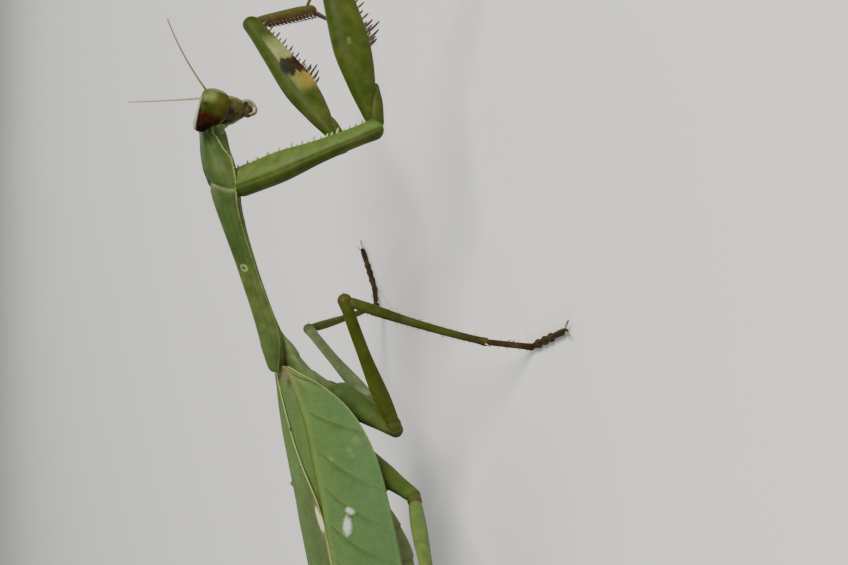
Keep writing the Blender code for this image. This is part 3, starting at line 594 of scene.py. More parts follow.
def paintWing(item, y, reach, beneath, upper):
    off, costal, sideVein, shade, fine, _ = wingVeins(y, reach)
    rim = hill(outerReach(y) - reach, 0.0, 0.13)
    hind = hill(reach - innerReach(y, upper), 0.0, 0.13)
    front = easeIn(14, 4, y)
    layers = [
        (easeIn(0.5, 6, off) * 0.8, wing["leafBlue"]),
        # the band between the hind edge and the main vein: its own tone, darkened as painted shade
        (easeIn(0.1, -0.4, off), wing["strip"]),
        (easeIn(22, 40, y), wing["rearGreen"]),
        # painted shade in the hollow behind each side vein
        (costal * shade * 0.48, wing["groove"]),
        (costal * sideVein * smoothLine(((0, 0.7), (3, 0.45), (8, 0.12)), off), wing["veinGreen"]),
        (fine * 0.12, wing["veinGreen"]),
        (hill(off, 0.05, 0.42) * 0.8, wing["veinGreen"]),
        # painted shade in the groove beside the main vein
        (hill(off, -0.52, 0.1) * 0.75, wing["groove"]),
        (hill(y, -2.8, 2.1) * easeIn(6.5, 1.5, np.abs(reach)) * 0.8, wing["tan"]),
        (hill(y + 0.5 * reach, -0.2, 0.6) * hill(reach, 2.1, 0.7), wing["groove"]),
        (rim * (0.12 + 0.8 * front ** 2), wing["paleEdge"]),
        (hind * 0.8, wing["paleEdge"]),
    ]
    if upper:
        # the part that lies over the back: greyer, and darkened as painted shade
        layers.insert(2, (easeIn(0.5, -2, reach) * 0.8, wing["overlap"]))
        # the pale horny spot behind the main vein, and its brown rim
        spot = oval(y, 16.2, 1.75, reach + 0.12 * (y - 16.2), -2.98, 0.4)
        layers += [(easeIn(3.6, 1.0, spot) * 0.7, wing["stigmaRim"]),
                   (easeIn(1.15, 0.55, spot) * 0.95, wing["stigma"]),
                   (easeIn(1.2, 0.7, oval(y, 5.0, 0.3, reach, 0.35, 0.3)), wing["speck"])]
    else:
        # a chalky white mark on the side, in two parts
        ragged = 0.22 * np.sin(y * 9 + 2 * np.sin(reach * 7)) + 0.18 * np.sin(reach * 13 + y * 5)
        whiteMark = np.minimum(oval(y - 0.3 * (reach - 7), 15.0, 0.42, reach, 7.0, 0.55),
                            oval(y, 16.9, 1.2, reach + 0.18 * (y - 17), 6.25, 0.5))
        layers += [(easeIn(1.7, 0.1, whiteMark + ragged) * 0.7, wing["chalk"]),
                   (easeIn(1.2, 0.6, oval(y, 15.75, 0.16, reach, 6.9, 0.5)) * 0.6, wing["groove"])]
        for spotY, spotReach, size in wing["paleSpots"]:
            far = oval(y, spotY, size, reach, spotReach, size)
            layers.append((easeIn(1.7, 0.1, far + ragged) * 0.16, wing["paleEdge"]))
    layers.append((beneath * 0.6, wing["under"]))
    paint(item, wing["leaf"], *layers)


# Forewing: leathery, satin, with a fine net of veins that reads as a dotted leaf texture.
def wingLeather():
    made, tree = startMaterial("wingLeather")
    spread = addNode(tree, "ShaderNodeAttribute", {"attribute_name": "spread"})
    tint = addNode(tree, "ShaderNodeAttribute", {"attribute_name": "tint"})
    place = addNode(tree, "ShaderNodeTexCoord").outputs["Object"]
    # cells about 0.4 mm across, drawn a little coarser than the real net, which is 0.25 mm
    net = addNode(tree, "ShaderNodeTexVoronoi", {"feature": "DISTANCE_TO_EDGE", "Scale": 2.5},
                  {"Vector": spread.outputs["Vector"]})
    lines = addNode(tree, "ShaderNodeMapRange", {"From Max": 0.16, "To Min": 1.0, "To Max": 0.0},
                    {"Value": net.outputs["Distance"]})
    cloud = addNode(tree, "ShaderNodeTexNoise", {"Scale": 0.55, "Detail": 4.0, "Roughness": 0.6},
                    {"Vector": spread.outputs["Vector"]})
    grain = addNode(tree, "ShaderNodeTexNoise", {"Scale": 1 / (0.12 * mm), "Detail": 2.0},
                    {"Vector": place})
    shade = addNode(tree, "ShaderNodeMapRange", {**noiseSpan, "To Min": 0.88, "To Max": 1.12},
                    {"Value": cloud})
    toned = addNode(tree, "ShaderNodeVectorMath", {"operation": "SCALE"},
                    {0: tint.outputs["Color"], "Scale": shade})
    faint = addNode(tree, "ShaderNodeMath", {"operation": "MULTIPLY", 1: 0.13}, {0: lines})
    netted = addNode(tree, "ShaderNodeMix", {"data_type": "RGBA", 7: rgba(wing["net"])},
                     {0: faint, 6: toned})
    rough = addNode(tree, "ShaderNodeMapRange", {**noiseSpan, "To Min": 0.4, "To Max": 0.54},
                    {"Value": cloud})
    height = addNode(tree, "ShaderNodeMath", {"operation": "MULTIPLY_ADD", 1: 0.5}, {0: grain, 2: lines})
    bump = addNode(tree, "ShaderNodeBump", {"Strength": 0.3, "Distance": 0.05 * mm}, {"Height": height})
    return endMaterial(made, {"IOR": 1.5, "Specular IOR Level": 0.26, "Subsurface Weight": 0.1,
                              "Subsurface Scale": 0.5 * mm},
                       {"Base Color": netted.outputs[2], "Roughness": rough, "Normal": bump})


leather = wingLeather()
for name, side, upper in (("wing_right", -1, False), ("wing_left", 1, True)):
    skin, wingY, wingReach, beneath = makeWing("fore" + name, side, upper)
    paintWing(skin, wingY, wingReach, beneath, upper)
    finishPiece(skin, leather, "wing_membrane", name)
print("wings made")


# The long first segment of the thorax: a saddle-shaped shield with a thin lip over its belly.
shield = {
    "rows": 300, "domeAround": 60, "bellyAround": 40, "lip": 0.34, "step": 0.16,
    "front": -33.3, "rear": -2.5,
    "halfWidth": ((-33.3, 1.55), (-32.4, 1.75), (-31, 2.0), (-28.5, 2.72), (-26.8, 3.15), (-25, 2.8),
                  (-22.5, 2.25), (-16, 1.85), (-9, 1.95), (-7.5, 2.08), (-6, 1.98), (-5, 1.65),
                  (-4.2, 1.2), (-3.4, 0.85), (-2.5, 0.6)),
    "top": ((-33.3, 13.5), (-32.4, 13.95), (-30.5, 13.9), (-28, 13.5), (-26.7, 12.95), (-24, 12.1),
            (-15, 8.75), (-7, 6.15), (-5, 5.7), (-3.6, 5.35), (-2.5, 5.0)),
    "margin": ((-33.3, 12.9), (-32.4, 12.9), (-31.6, 12.35), (-30.4, 11.7), (-29, 10.75), (-27, 10.5),
               (-24, 10.1), (-15, 7.2), (-7, 4.42), (-5, 4.2), (-4, 4.1), (-2.5, 3.95)),
    "bottom": ((-33.3, 10.9), (-32, 10.5), (-30.5, 10.2), (-29, 9.8), (-26, 9.0), (-24, 8.8),
               (-21.7, 8.35), (-16, 6.7), (-13.6, 5.88), (-10, 4.55), (-8, 3.6), (-6, 2.7),
               (-4, 2.6), (-2.5, 3.0)),
    "green": "33471b", "rearGreen": "3c4f23", "middle": "4b5323", "side": "314212", "rim": "8e9761",
    "groove": "808355", "scar": "a3a878", "belly": "3f4d24", "bellyDark": "2c3517",
}


def crossGroove(x):
    # where the groove over the widest part runs
    return -26.2 + 0.35 * np.abs(x)


def makeShield():
    rows, dome, belly = shield["rows"], shield["domeAround"], shield["bellyAround"]
    y = np.linspace(shield["front"], shield["rear"], rows)[:, None]
    wide, top, margin, bottom = (
        smoothLine(shield[key], y) for key in ("halfWidth", "top", "margin", "bottom"))
    nearEnd = np.minimum(easeIn(shield["front"], -32.7, y), easeIn(shield["rear"], -3.0, y))
    close = nearEnd ** 0.5 * 0.25 + 0.75
    a = np.linspace(0, pi, dome)[None, :]
    x = np.cos(a) * wide
    z = margin + (top - margin) * np.sin(a) ** 0.9 * close
    # a keel behind the cross groove, a furrow before it, the groove itself and a rolled margin
    keel = easeIn(-26.4, -24, y) * easeIn(-3.8, -6, y) * hill(x, 0, 0.28)
    furrow = easeIn(-26, -28, y) * easeIn(-31.8, -30.5, y) * hill(x, 0, 0.25)
    groove = hill(y, crossGroove(x), 0.36) * easeIn(0.0, 0.35, np.sin(a))
    roll = hill(np.abs(x), wide - 0.5, 0.22) * easeIn(0, 0.2, np.sin(a))
    z = z + 0.22 * keel - 0.16 * furrow - 0.34 * groove - 0.13 * roll + 0.03
    turn = np.linspace(0, -pi, belly)
    underX, down = np.cos(turn)[None, :], -np.sin(turn)[None, :]
    inset = np.clip(wide - shield["lip"] - 0.28 * down * wide, 0.5, 9)
    start = margin - shield["step"]
    bellyZ = start - (start - bottom) * down ** 0.8 * close
    pleat = 0.1 * hill(down, 0.5, 0.12) - 0.14 * hill(y, -21.5, 0.5) * down - 0.1 * hill(y, -27.5, 0.4) * down
    bellyX = -underX * inset * (1 - pleat)
    upper = np.stack([x, np.broadcast_to(y, x.shape), z], -1)
    lower = np.stack([bellyX, np.broadcast_to(y, bellyX.shape), bellyZ], -1)
    # under the lip: one thin step from the margin to the belly
    drop = [0, 0, -shield["step"]]
    rings = np.concatenate([upper, upper[:, -1:] + drop, lower, upper[:, :1] + drop], 1)
    made = makeObject("pronotumShield", [ringSkin(moved(bodyFrame, rings))])
    under = np.arange(dome + belly + 2) >= dome
    return made, ringPoints(rings), ringValues(under, rings.shape[:2])


shieldSkin, shieldPlace, shieldUnder = makeShield()
sx, sy, sz = shieldPlace.T
sWide = smoothLine(shield["halfWidth"], sy)
onTop = 1 - shieldUnder
rimShare = onTop * (0.25 + 0.4 * easeIn(-21, -26, sy))
paint(shieldSkin, shield["green"],
      (easeIn(-19, -13, sy) * 0.6, shield["middle"]),
      (easeIn(-12, -6, sy), shield["rearGreen"]),
      (easeIn(0.35, 0.9, np.abs(sx) / sWide) * onTop * 0.4, shield["side"]),
      (easeIn(0.13, 0.03, sz - smoothLine(shield["margin"], sy)) * rimShare, shield["rim"]),
      (hill(sx, 0, 0.16) * onTop * 0.35 * easeIn(-26, -22, sy), shield["groove"]),
      (hill(sy, crossGroove(sx), 0.2) * onTop * 0.6, shield["groove"]),
      (hill(np.hypot(sy + 15.7, sx + 1.05), 0.34, 0.1) * onTop * 0.55, shield["scar"]),
      (shieldUnder, shield["belly"]),
      (shieldUnder * easeIn(-24, -19, sy) * 0.7, shield["middle"]),
      (shieldUnder * hill(sy, -24, 2.2) * 0.7, shield["bellyDark"]))
finishPiece(shieldSkin, skinOf["shieldCuticle"], "body_cuticle", "pronotum")

# the row of small teeth along each margin
denticles = {"count": 38, "front": -32.4, "rear": -9, "length": (0.18, 0.45), "radius": 0.12, "tone": -0.9}
dice = np.random.default_rng(11)
teeth = []
for side in (-1, 1):
    for y in np.linspace(denticles["front"], denticles["rear"], denticles["count"]):
        wide, high = (float(smoothLine(shield[key], y)) for key in ("halfWidth", "margin"))
        tall = between(denticles["length"], dice.random())
        ease = float(0.4 + 0.6 * easeIn(-20, -26, y))
        way = np.array(bodyFrame.to_3x3()) @ unit((side, -0.15 + 0.3 * dice.random(), 0.35))
        root = inBody(side * (wide - 0.05), y, high)
        teeth.append((root, way, (0, 1, 0), tall * ease, denticles["radius"] * ease, denticles["tone"]))
finishPiece(spinesAt("pronotumDenticles", teeth, horn, bend=0.4, sides=6, steps=4), None, "body_cuticle")
print("pronotum made")


# Thorax and abdomen under the wings
trunk = {
    "thoraxFront": -8.2, "thoraxRear": 9.2, "thoraxRows": 200, "around": 96,
    "thoraxWide": ((-8.2, 1.0), (-6.5, 1.6), (-5, 2.0), (-3.2, 2.4), (0, 3.3), (4, 3.8), (9.2, 3.7)),
    "thoraxLow": ((-8.2, 3.8), (-7, 2.9), (-6, 1.9), (-5, 1.15), (-4.2, 0.7), (-3, -0.35),
                  (-2, -1.75), (0, -4.3), (5, -6.6), (9.2, -7.4)),
    "thoraxTop": ((-8.2, 4.3), (-6.5, 3.75), (-5, 3.3), (-3.5, 2.75), (-2, 2.43), (0, 2.0), (9.2, 0.04)),
    "abdomenWide": ((0, 3.6), (0.35, 4.5), (0.6, 4.3), (0.85, 3.1), (1, 1.3)),
    "abdomenDeep": ((0, 7.6), (0.38, 12.4), (0.6, 11.6), (0.85, 7.0), (1, 2.4)),
    "abdomenRows": 340, "segments": 8, "overlap": 0.11, "front": 9.85, "rear": 45.0,
    "green": "405323", "pale": "5b6439", "shoulder": "53633a", "seam": "2e3913", "back": "515e2d",
    "spot": "334115", "tan": "5c542a",
}


def roundBody(y, wide, margin, top, bottom):
    # rings with a dome over a rounder keel, and how far up and across each point of them is
    a = np.linspace(0, 2 * pi, trunk["around"], endpoint=False)[None, :]
    up, across = np.sin(a), np.cos(a)
    x = across * wide * np.where(up < 0, 1 - 0.25 * -up, 1)
    z = np.where(up > 0, margin + (top - margin) * up, margin + (margin - bottom) * up)
    y, up, across = (np.broadcast_to(part, x.shape) for part in (y, up, across))
    return np.stack([x, y, z], -1), up, across


def pressIn(rings, y, height, amount):
    # moves each point towards the axis at this height
    inward = np.concatenate([np.zeros_like(y), y, height], -1)[:, None, :] - rings
    return rings + inward / np.linalg.norm(inward, axis=-1, keepdims=True) * amount[..., None]


y = np.linspace(trunk["thoraxFront"], trunk["thoraxRear"], trunk["thoraxRows"])[:, None]
wide, top, low = (smoothLine(trunk[key], y) for key in ("thoraxWide", "thoraxTop", "thoraxLow"))
rings, up, across = roundBody(y, wide, top - 0.4 * (top - low), top, low)
# oblique plate grooves down each side, and one along the belly
drop = top - rings[..., 2]
plates = 0.24 * hill(y - 0.35 * drop, 0.2, 0.22) + 0.24 * hill(y - 0.4 * drop, 3.6, 0.24)
plates += 0.15 * hill(drop, 3.2, 0.22) + 0.12 * hill(y - 0.3 * drop, 1.8, 0.15)
plates += 0.2 * hill(across, 0, 0.06) * (up < 0)
plates = (plates + 0.09 * hill(y - 0.3 * drop, -5.0, 0.35)) * easeIn(-7.6, -5.5, y)
rings = pressIn(rings, y, (top + low) / 2, plates)
thoraxSkin = makeObject("thoraxPlates", [ringSkin(moved(bodyFrame, rings))])
groove, upAll = ringValues(plates, up.shape), ringValues(up, up.shape)
yAll = ringValues(y, up.shape, (trunk["thoraxFront"], trunk["thoraxRear"]))
paint(thoraxSkin, trunk["green"],
      (easeIn(0.2, -0.7, upAll) * 0.5, trunk["pale"]),
      (easeIn(0.5, -2.5, yAll) * 0.75, trunk["shoulder"]),
      (hill(yAll, -2.2, 1.2) * easeIn(0.7, 0.95, upAll), trunk["tan"]),
      (groove * 3.2, trunk["seam"]))
finishPiece(thoraxSkin, skinOf["bellyCuticle"], "body_cuticle", "thorax")

t = np.linspace(0, 1, trunk["abdomenRows"])[:, None]
y = trunk["front"] + (trunk["rear"] - trunk["front"]) * t
beatOf = (t * trunk["segments"]) % 1.0
# each ring widens to its rear edge and slips over the next one
lapped = trunk["overlap"] * (easeIn(0.0, 0.9, beatOf) * easeIn(1.0, 0.965, beatOf)) - trunk["overlap"]
wide = smoothLine(trunk["abdomenWide"], t) + lapped * 0.7
deep = smoothLine(trunk["abdomenDeep"], t) + 2 * lapped
top = ridgeAt(y) - 0.85 + lapped * 0.3
rings, up, across = roundBody(y, wide, top - deep * 0.45, top, top - deep)
# the soft fold between the back and belly plates
fold = 0.3 * hill(up, -0.12, 0.1) * smoothLine(((0, 1), (0.8, 1), (1, 0.2)), t)
rings = pressIn(rings, y, top - deep * 0.5, fold)
abdomenSkin = makeObject("abdomenRings", [ringSkin(moved(bodyFrame, rings))])
beatAll, foldAll, upAll, acrossAll = (ringValues(part, up.shape) for part in (beatOf, fold, up, across))
paint(abdomenSkin, trunk["green"],
      (easeIn(-0.1, -0.6, upAll) * 0.55, trunk["pale"]),
      (easeIn(0.2, 0.9, upAll) * 0.5, trunk["back"]),
      (foldAll * 2.4, trunk["tan"]),
      (hill(acrossAll, 0, 0.05) * (upAll < 0) * 0.5, trunk["spot"]),
      (easeIn(0.86, 0.96, beatAll) * 0.7, trunk["seam"]),
      (easeIn(0.12, 0.02, beatAll) * 0.5, trunk["seam"]),
      (hill(beatAll, 0.5, 0.12) * hill(np.abs(acrossAll), 0.72, 0.1) * (upAll < 0) * 0.5, trunk["spot"]))
finishPiece(abdomenSkin, skinOf["bellyCuticle"], "body_cuticle", "abdomen")

# cerci: a pair of beaded tail feelers
tails = {"length": 4.6, "thick": 0.42, "rings": 11, "green": "6f8236"}
for label, side in (("cercus_right", -1), ("cercus_left", 1)):
    root = inBody(side * 0.75, 44.4, ridgeAt(45) - 1.9)
    way = heading(180 - side * 18, 2)
    t = np.linspace(0, 1, 40)
    path = root + np.outer(0.3 + t * tails["length"], way) + np.outer(t ** 2 * 0.3, (0, 0, 1))
    shape = (path, tails["thick"] * (1 - 0.72 * t), t * tails["rings"])
    tail = tubesAlong(label + "Rings", [shape], skinOf["feelerCuticle"], swell=0.16, spacing=0.07, sides=18)
    paint(tail, tails["green"])
    finishPiece(tail, None, "body_cuticle", label)
print("thorax and abdomen made")

# Neck: soft skin in shallow folds between the head and the shield
neck = {
    "folds": 3, "depth": 0.1, "waist": 0.12, "radius": (1.5, 1.2), "rows": 70, "around": 64,
    "green": "53642f", "pale": "6b7744",
}
start, end = inHead(0, 0.4, 0.2), inBody(0, -32.1, 11.9)
t = np.linspace(0, 1, neck["rows"])
a = np.linspace(0, 2 * pi, neck["around"], endpoint=False)
size = between(neck["radius"], t) - neck["depth"] * (0.5 + 0.5 * np.cos(t * neck["folds"] * 2 * pi))
size = size - neck["waist"] * np.sin(pi * t)
rise = unit((0, 0.15, 1))
rings = (start + np.outer(t, end - start))[:, None, :] + size[:, None, None] * (
    np.cos(a)[None, :, None] * np.array((1.0, 0, 0)) + 0.85 * np.sin(a)[None, :, None] * rise)
neckSkin = makeObject("neckFolds", [ringSkin(rings)])
crest = ringValues(((size - size.min()) / np.ptp(size))[:, None], rings.shape[:2])
paint(neckSkin, neck["green"], (crest * 0.6, neck["pale"]))
finishPiece(neckSkin, skinOf["jointSkin"], "body_cuticle", "neck")

# Head: a three-cornered capsule, broad between the eyes and narrow at the mouth
head = {
    "halfWidth": ((-2.9, 0.95), (-2.3, 1.2), (-1.5, 1.6), (-0.8, 2.05), (0.2, 2.35), (0.9, 2.4),
                  (1.7, 2.35), (2.35, 2.0)),
    "front": ((-2.9, -2.3), (-2.3, -2.45), (-0.7, -2.45), (0.8, -2.35), (1.7, -2.0), (2.35, -1.5)),
    "back": ((-2.9, -0.7), (-2.06, 0.25), (-1.58, 0.75), (-0.55, 1.3), (0.8, 1.9), (1.7, 1.9),
             (2.35, 1.6)),
    "top": 2.35, "low": -2.75, "crown": 0.3, "chin": 0.15, "rows": 120, "square": 2.5,
    "olive": "454720", "green": "475817", "pale": "969870", "patch": "190d04", "cheek": "4a4318",
    "lip": "6a6a38", "seam": "2a270e", "vertex": "6a7349", "gold": "2b290b",
}
over = np.linspace(pi / 2, 0, 14, endpoint=False)[1:]
below = np.linspace(0, pi / 2, 7, endpoint=False)[1:]
z = np.concatenate([head["top"] + head["crown"] * np.sin(over),
                    np.linspace(head["top"], head["low"], head["rows"]),
                    head["low"] - head["chin"] * np.sin(below)])[:, None]
shrink = np.concatenate([np.cos(over), np.ones(head["rows"]), np.cos(below)])[:, None]
a = np.linspace(0, 2 * pi, 160, endpoint=False)[None, :]
halfWidth, front, behind = (smoothLine(head[key], z) for key in ("halfWidth", "front", "back"))
x = rounded(np.cos(a), head["square"]) * halfWidth * shrink
depth = (front + behind) / 2 + rounded(np.sin(a), head["square"]) * (behind - front) / 2 * shrink
local = np.stack([x, depth, np.broadcast_to(z, x.shape)], -1)
headSkin = makeObject("headCapsule", [ringSkin(moved(headFrame, local))])
hx, hy, hz = ringPoints(local).T
ax, face = np.abs(hx), easeIn(-1.2, -1.8, hy)
brow = easeIn(1.4, 1.28, ax + 0.25 * np.abs(hz - 0.3)) * face
brow = brow * easeIn(-0.15, -0.03, hz) * easeIn(0.85, 0.73, hz)
plate = easeIn(1.15, 1.02, ax) * easeIn(-1.6, -1.48, hz) * easeIn(-0.25, -0.37, hz) * face
socket = np.hypot(ax - 0.75, hz - 1.85)
stripes = hill(ax, 1.25, 0.09) * easeIn(1.6, 2.1, hz) + hill(ax, 0.0, 0.07) * easeIn(2.3, 2.5, hz)
cheekLine = hill(ax - 0.25 * (hz + 1.0), 1.5, 0.08) * easeIn(0.1, -0.3, hz) * easeIn(0.2, -0.8, hy)
backLine = hill(hy, 0.15 + 0.3 * hz, 0.1) * easeIn(0.6, -0.3, hz) * easeIn(0.7, 1.1, ax)
relief = 0.1 * brow + 0.12 * plate - 0.09 * stripes - 0.1 * cheekLine - 0.1 * backLine
relief += (0.14 * hill(socket, 0.45, 0.1) - 0.16 * hill(socket, 0, 0.25)) * face
relief += 0.08 * hill(hz, 2.0, 0.3) * hill(hx, 0, 0.4) * face
relief += 0.14 * hill(ax, 1.4, 0.5) * hill(hz, -1.3, 0.5) * easeIn(1.2, 0.2, hy)
push(headSkin, relief)
paint(headSkin, head["olive"],
      (easeIn(0.8, 2.0, hz) * 0.8, head["green"]),
      (hill(hz, -0.6, 0.9) * easeIn(0.8, 1.4, ax) * easeIn(0.2, -1.2, hy) * 0.6, head["cheek"]),
      (easeIn(2.2, 2.45, hz) * 0.6, head["vertex"]),
      (brow * 0.45, head["pale"]), (plate * 0.5, head["lip"]),
      (easeIn(1.5, 0.5, oval(hz, -0.95, 0.85, hy, 0.15, 1.15)) * easeIn(0.7, 1.1, ax), head["patch"]),
      (easeIn(1.5, 0.6, oval(hz, -1.85, 0.5, hy, -0.15, 0.6)) * easeIn(0.5, 0.9, ax) * 0.7, head["gold"]),
      (easeIn(-2.3, -2.5, hz) * 0.8, head["patch"]),
      (hill(hy, -2.35, 0.3) * easeIn(-2.0, -0.5, hz) * easeIn(0.9, 0.2, hz) * 0.35, head["pale"]),
      (np.clip(stripes + cheekLine + backLine, 0, 1) * 0.6, head["seam"]),
      (hill(socket, 0.44, 0.12) * face * 0.6, head["pale"]))
finishPiece(headSkin, skinOf["faceCuticle"], "head_cuticle", "head")

# Compound eyes: big plump eggs, green in front and red-brown behind; the red-brown is partly their own colour
# and partly painted shade, and the tops carry painted highlight
eyes = {
    "at": (2.75, 0.2, 0.85), "bulge": 1.6, "bluff": 2.4, "lean": 0.13, "rows": 88, "around": 120,
    # the outline seen from the side: bearing from straight back, in degrees, and reach
    "outline": ((-180, 2.8), (-160, 2.8), (-140, 2.62), (-115, 2.1), (-95, 1.86), (-70, 1.78),
                (-45, 1.7), (-25, 1.75), (0, 2.3), (14, 2.95), (27, 3.12), (40, 2.75), (60, 2.0),
                (90, 1.75), (115, 1.95), (135, 2.45), (147, 2.72), (163, 2.78), (180, 2.8)),
    # the bright and rim colours are painted highlights, shade is painted shade, and red and dark are partly
    # the eyes' own colour and partly painted shade
    "green": "2e3b08", "paintedHighlight": "7c8a55", "olive": "403f15", "red": "290f06", "dark": "130805",
    "rim": "97987e", "shade": "2d2d0b", "pupil": "15160a",
    # the simple eyes: x, z and radius of each
    "ocelli": ((0, 1.8, 0.16), (-0.27, 2.12, 0.17), (0.27, 2.12, 0.17)), "amber": "a8863a",
}


# Cornea: clear lens skin over thousands of tiny facets, so it is smooth and glossy like wet glass.
def eyeCornea():
    made, tree = startMaterial("eyeCornea")
    tint = addNode(tree, "ShaderNodeAttribute", {"attribute_name": "tint"})
    place = addNode(tree, "ShaderNodeTexCoord").outputs["Object"]
    # facets drawn 0.07 mm across, about twice the real size, so that they hold in a render
    facet = addNode(tree, "ShaderNodeTexVoronoi", {"feature": "DISTANCE_TO_EDGE", "Scale": 1 / (0.07 * mm),
                    "Randomness": 0.25}, {"Vector": place})
    cloud = addNode(tree, "ShaderNodeTexNoise", {"Scale": 1 / (0.9 * mm), "Detail": 3.0},
                    {"Vector": place})
    shade = addNode(tree, "ShaderNodeMapRange", {**noiseSpan, "To Min": 0.8, "To Max": 1.2},
                    {"Value": cloud})
    toned = addNode(tree, "ShaderNodeVectorMath", {"operation": "SCALE"},
                    {0: tint.outputs["Color"], "Scale": shade})
    bump = addNode(tree, "ShaderNodeBump", {"Strength": 0.12, "Distance": 0.01 * mm},
                   {"Height": facet.outputs["Distance"]})
    return endMaterial(made, {"Roughness": 0.34, "IOR": 1.33, "Specular IOR Level": 0.06,
                              "Coat Weight": 0.03, "Coat Roughness": 0.16, "Subsurface Weight": 0.05,
                              "Subsurface Scale": 0.4 * mm},
                       {"Base Color": toned, "Normal": bump})


cornea = eyeCornea()


def ballRings(rows, around, square=2):
    # the rings of a ball of radius 1, with a and b, the angles from its pole and round it
    a = np.linspace(0, pi, rows + 2)[1:-1, None]
    b = np.linspace(0, 2 * pi, around, endpoint=False)[None, :]
    x, y = (rounded(np.sin(a) * wave, square) for wave in (np.cos(b), np.sin(b)))
    return np.stack([x, y, np.broadcast_to(np.cos(a), x.shape)], -1), a, b


ball, a, b = ballRings(eyes["rows"], eyes["around"])
bearing = (np.degrees(b) + 180) % 360 - 180
reach = rounded(np.sin(a), eyes["bluff"]) * smoothLine(eyes["outline"], bearing)
bulge = np.broadcast_to(rounded(np.cos(a), eyes["bluff"]) * eyes["bulge"], reach.shape)
# the outer face leans in towards the mouth
lean = np.where(bulge > 0, 1 + eyes["lean"] * reach * np.sin(b), 1.0)
lobe = np.stack([bulge * lean, reach * np.cos(b), reach * np.sin(b)], -1)
for label, side in (("eye_right", -1), ("eye_left", 1)):
    place = (lobe + np.array(eyes["at"])) * np.array((side, 1, 1))
    skin = makeObject(label + "Cornea", [ringSkin(moved(headFrame, place))])
    u, v, w = (ringValues(lobe[..., k], lobe.shape[:2]) for k in range(3))
    u[-2:] = (eyes["bulge"], -eyes["bulge"])
    # u is how far out, v how far back and w how far up, from the middle of the eye
    paint(skin, eyes["green"],
          # painted light on the upper front, then a painted highlight blob
          (easeIn(0.4, -1.6, v) * easeIn(-0.4, 1.2, w) * 0.25, eyes["paintedHighlight"]),
          (hill(np.hypot((v + 1.55) / 0.85, w - 0.1), 0, 0.75) * 0.75, eyes["paintedHighlight"]),
          (easeIn(0.9, -1.1, w) * 0.9, eyes["olive"]),
          # painted shade towards the back
          (easeIn(-1.3, 0.1, v) * 0.55, eyes["shade"]),
          # red-brown behind, darkest at the rear corner: own colour and painted shade together
          (easeIn(-0.1, 1.0, v + 0.1 * w), eyes["red"]),
          (easeIn(1.2, 2.5, v + 0.4 * w) * 0.85, eyes["dark"]),
          # painted highlight along the top rim, strongest on the outer side
          (easeIn(1.3, 1.6, w + 0.08 * v) * 0.5, eyes["paintedHighlight"]),
          (easeIn(1.32, 1.6, w + 0.08 * v) * easeIn(-0.5, 0.7, u) * 0.75, eyes["rim"]),
          (easeIn(-2.25, -2.6, v) * 0.3, eyes["rim"]),
          (easeIn(0.2, -0.8, u) * 0.8, eyes["olive"]),
          (hill(np.hypot(v + 0.45, w - 0.75), 0, 0.3) * easeIn(0.4, 1.0, u) * 0.85, eyes["pupil"]))
    finishPiece(skin, cornea, "compound_eye", label)

# the three small simple eyes between the antennae
beads = []
for x, z, size in eyes["ocelli"]:
    bead = ball * size + np.array((x, smoothLine(head["front"], z) - 0.02, z))
    beads.append(ringSkin(moved(headFrame, bead)))
ocelli = makeObject("ocelli", beads)
paint(ocelli, eyes["amber"])
finishPiece(ocelli, cornea, "compound_eye")

# Mouth: upper lip, a pair of dark-tipped jaws, and two pairs of curled feelers
mouth = {
    # the side view of an outer and an inner palp, y and z, with its distance from the middle,
    # thickness and number of joints
    "palps": ((((-1.2, -1.85), (-1.8, -2.0), (-2.45, -2.5), (-2.52, -3.0), (-2.37, -3.42), (-1.9, -3.9),
                (-1.48, -3.92), (-1.14, -3.66), (-0.92, -3.3)), 0.75, 0.19, 6),
              (((-1.2, -2.6), (-1.75, -2.72), (-2.1, -3.0), (-1.98, -3.4), (-1.6, -3.5)), 0.5, 0.1425, 3)),
    "voxel": 0.06, "palpTan": "757155",
    "olive": "57522a", "pale": "8a805a", "dark": "1f180a", "jaw": "3d2612",
}


def lobeSkin(middle, half):
    return ringSkin(moved(headFrame, ballRings(32, 40, 2.3)[0] * half + np.array(middle)))


jawSkins = [lobeSkin((0, -1.95, -2.75), (0.75, 0.36, 0.65)), lobeSkin((0, -0.95, -2.95), (0.7, 0.45, 0.6))]
jawSkins += [lobeSkin((side * 0.5, -1.45, -2.85), (0.4, 0.62, 0.7)) for side in (-1, 1)]
mouthSkin = fuseSkins("mouthPlates", jawSkins, mouth["voxel"], 2)
mx, my, mz = moved(headFrame.inverted(), placesOf(mouthSkin)).T
paint(mouthSkin, mouth["olive"],
      (easeIn(-1.9, -2.3, my) * 0.5, mouth["pale"]),
      (easeIn(-2.6, -3.2, mz) * 0.8, mouth["jaw"]),
      (easeIn(0.45, 0.7, np.abs(mx)) * 0.75, mouth["dark"]),
      (hill(np.abs(mx), 0.55, 0.12) * hill(my, -0.8, 0.6) * 0.8, mouth["dark"]))
finishPiece(mouthSkin, skinOf["mouthCuticle"], "mouth_cuticle", "mouthparts")

palps = []
for side in (-1, 1):
    for curl, out, thick, beads in mouth["palps"]:
        path = lengthwise([inHead(side * out, y, z) for y, z in curl], 60)
        t = np.linspace(0, 1, 60)
        palps.append((path, thick * (1.1 - 0.55 * t), t * beads))
palpTubes = tubesAlong("palps", palps, skinOf["mouthCuticle"], swell=0.14, spacing=0.06, sides=16)
paint(palpTubes, mouth["palpTan"])
finishPiece(palpTubes, None, "mouth_cuticle")
print("head made")

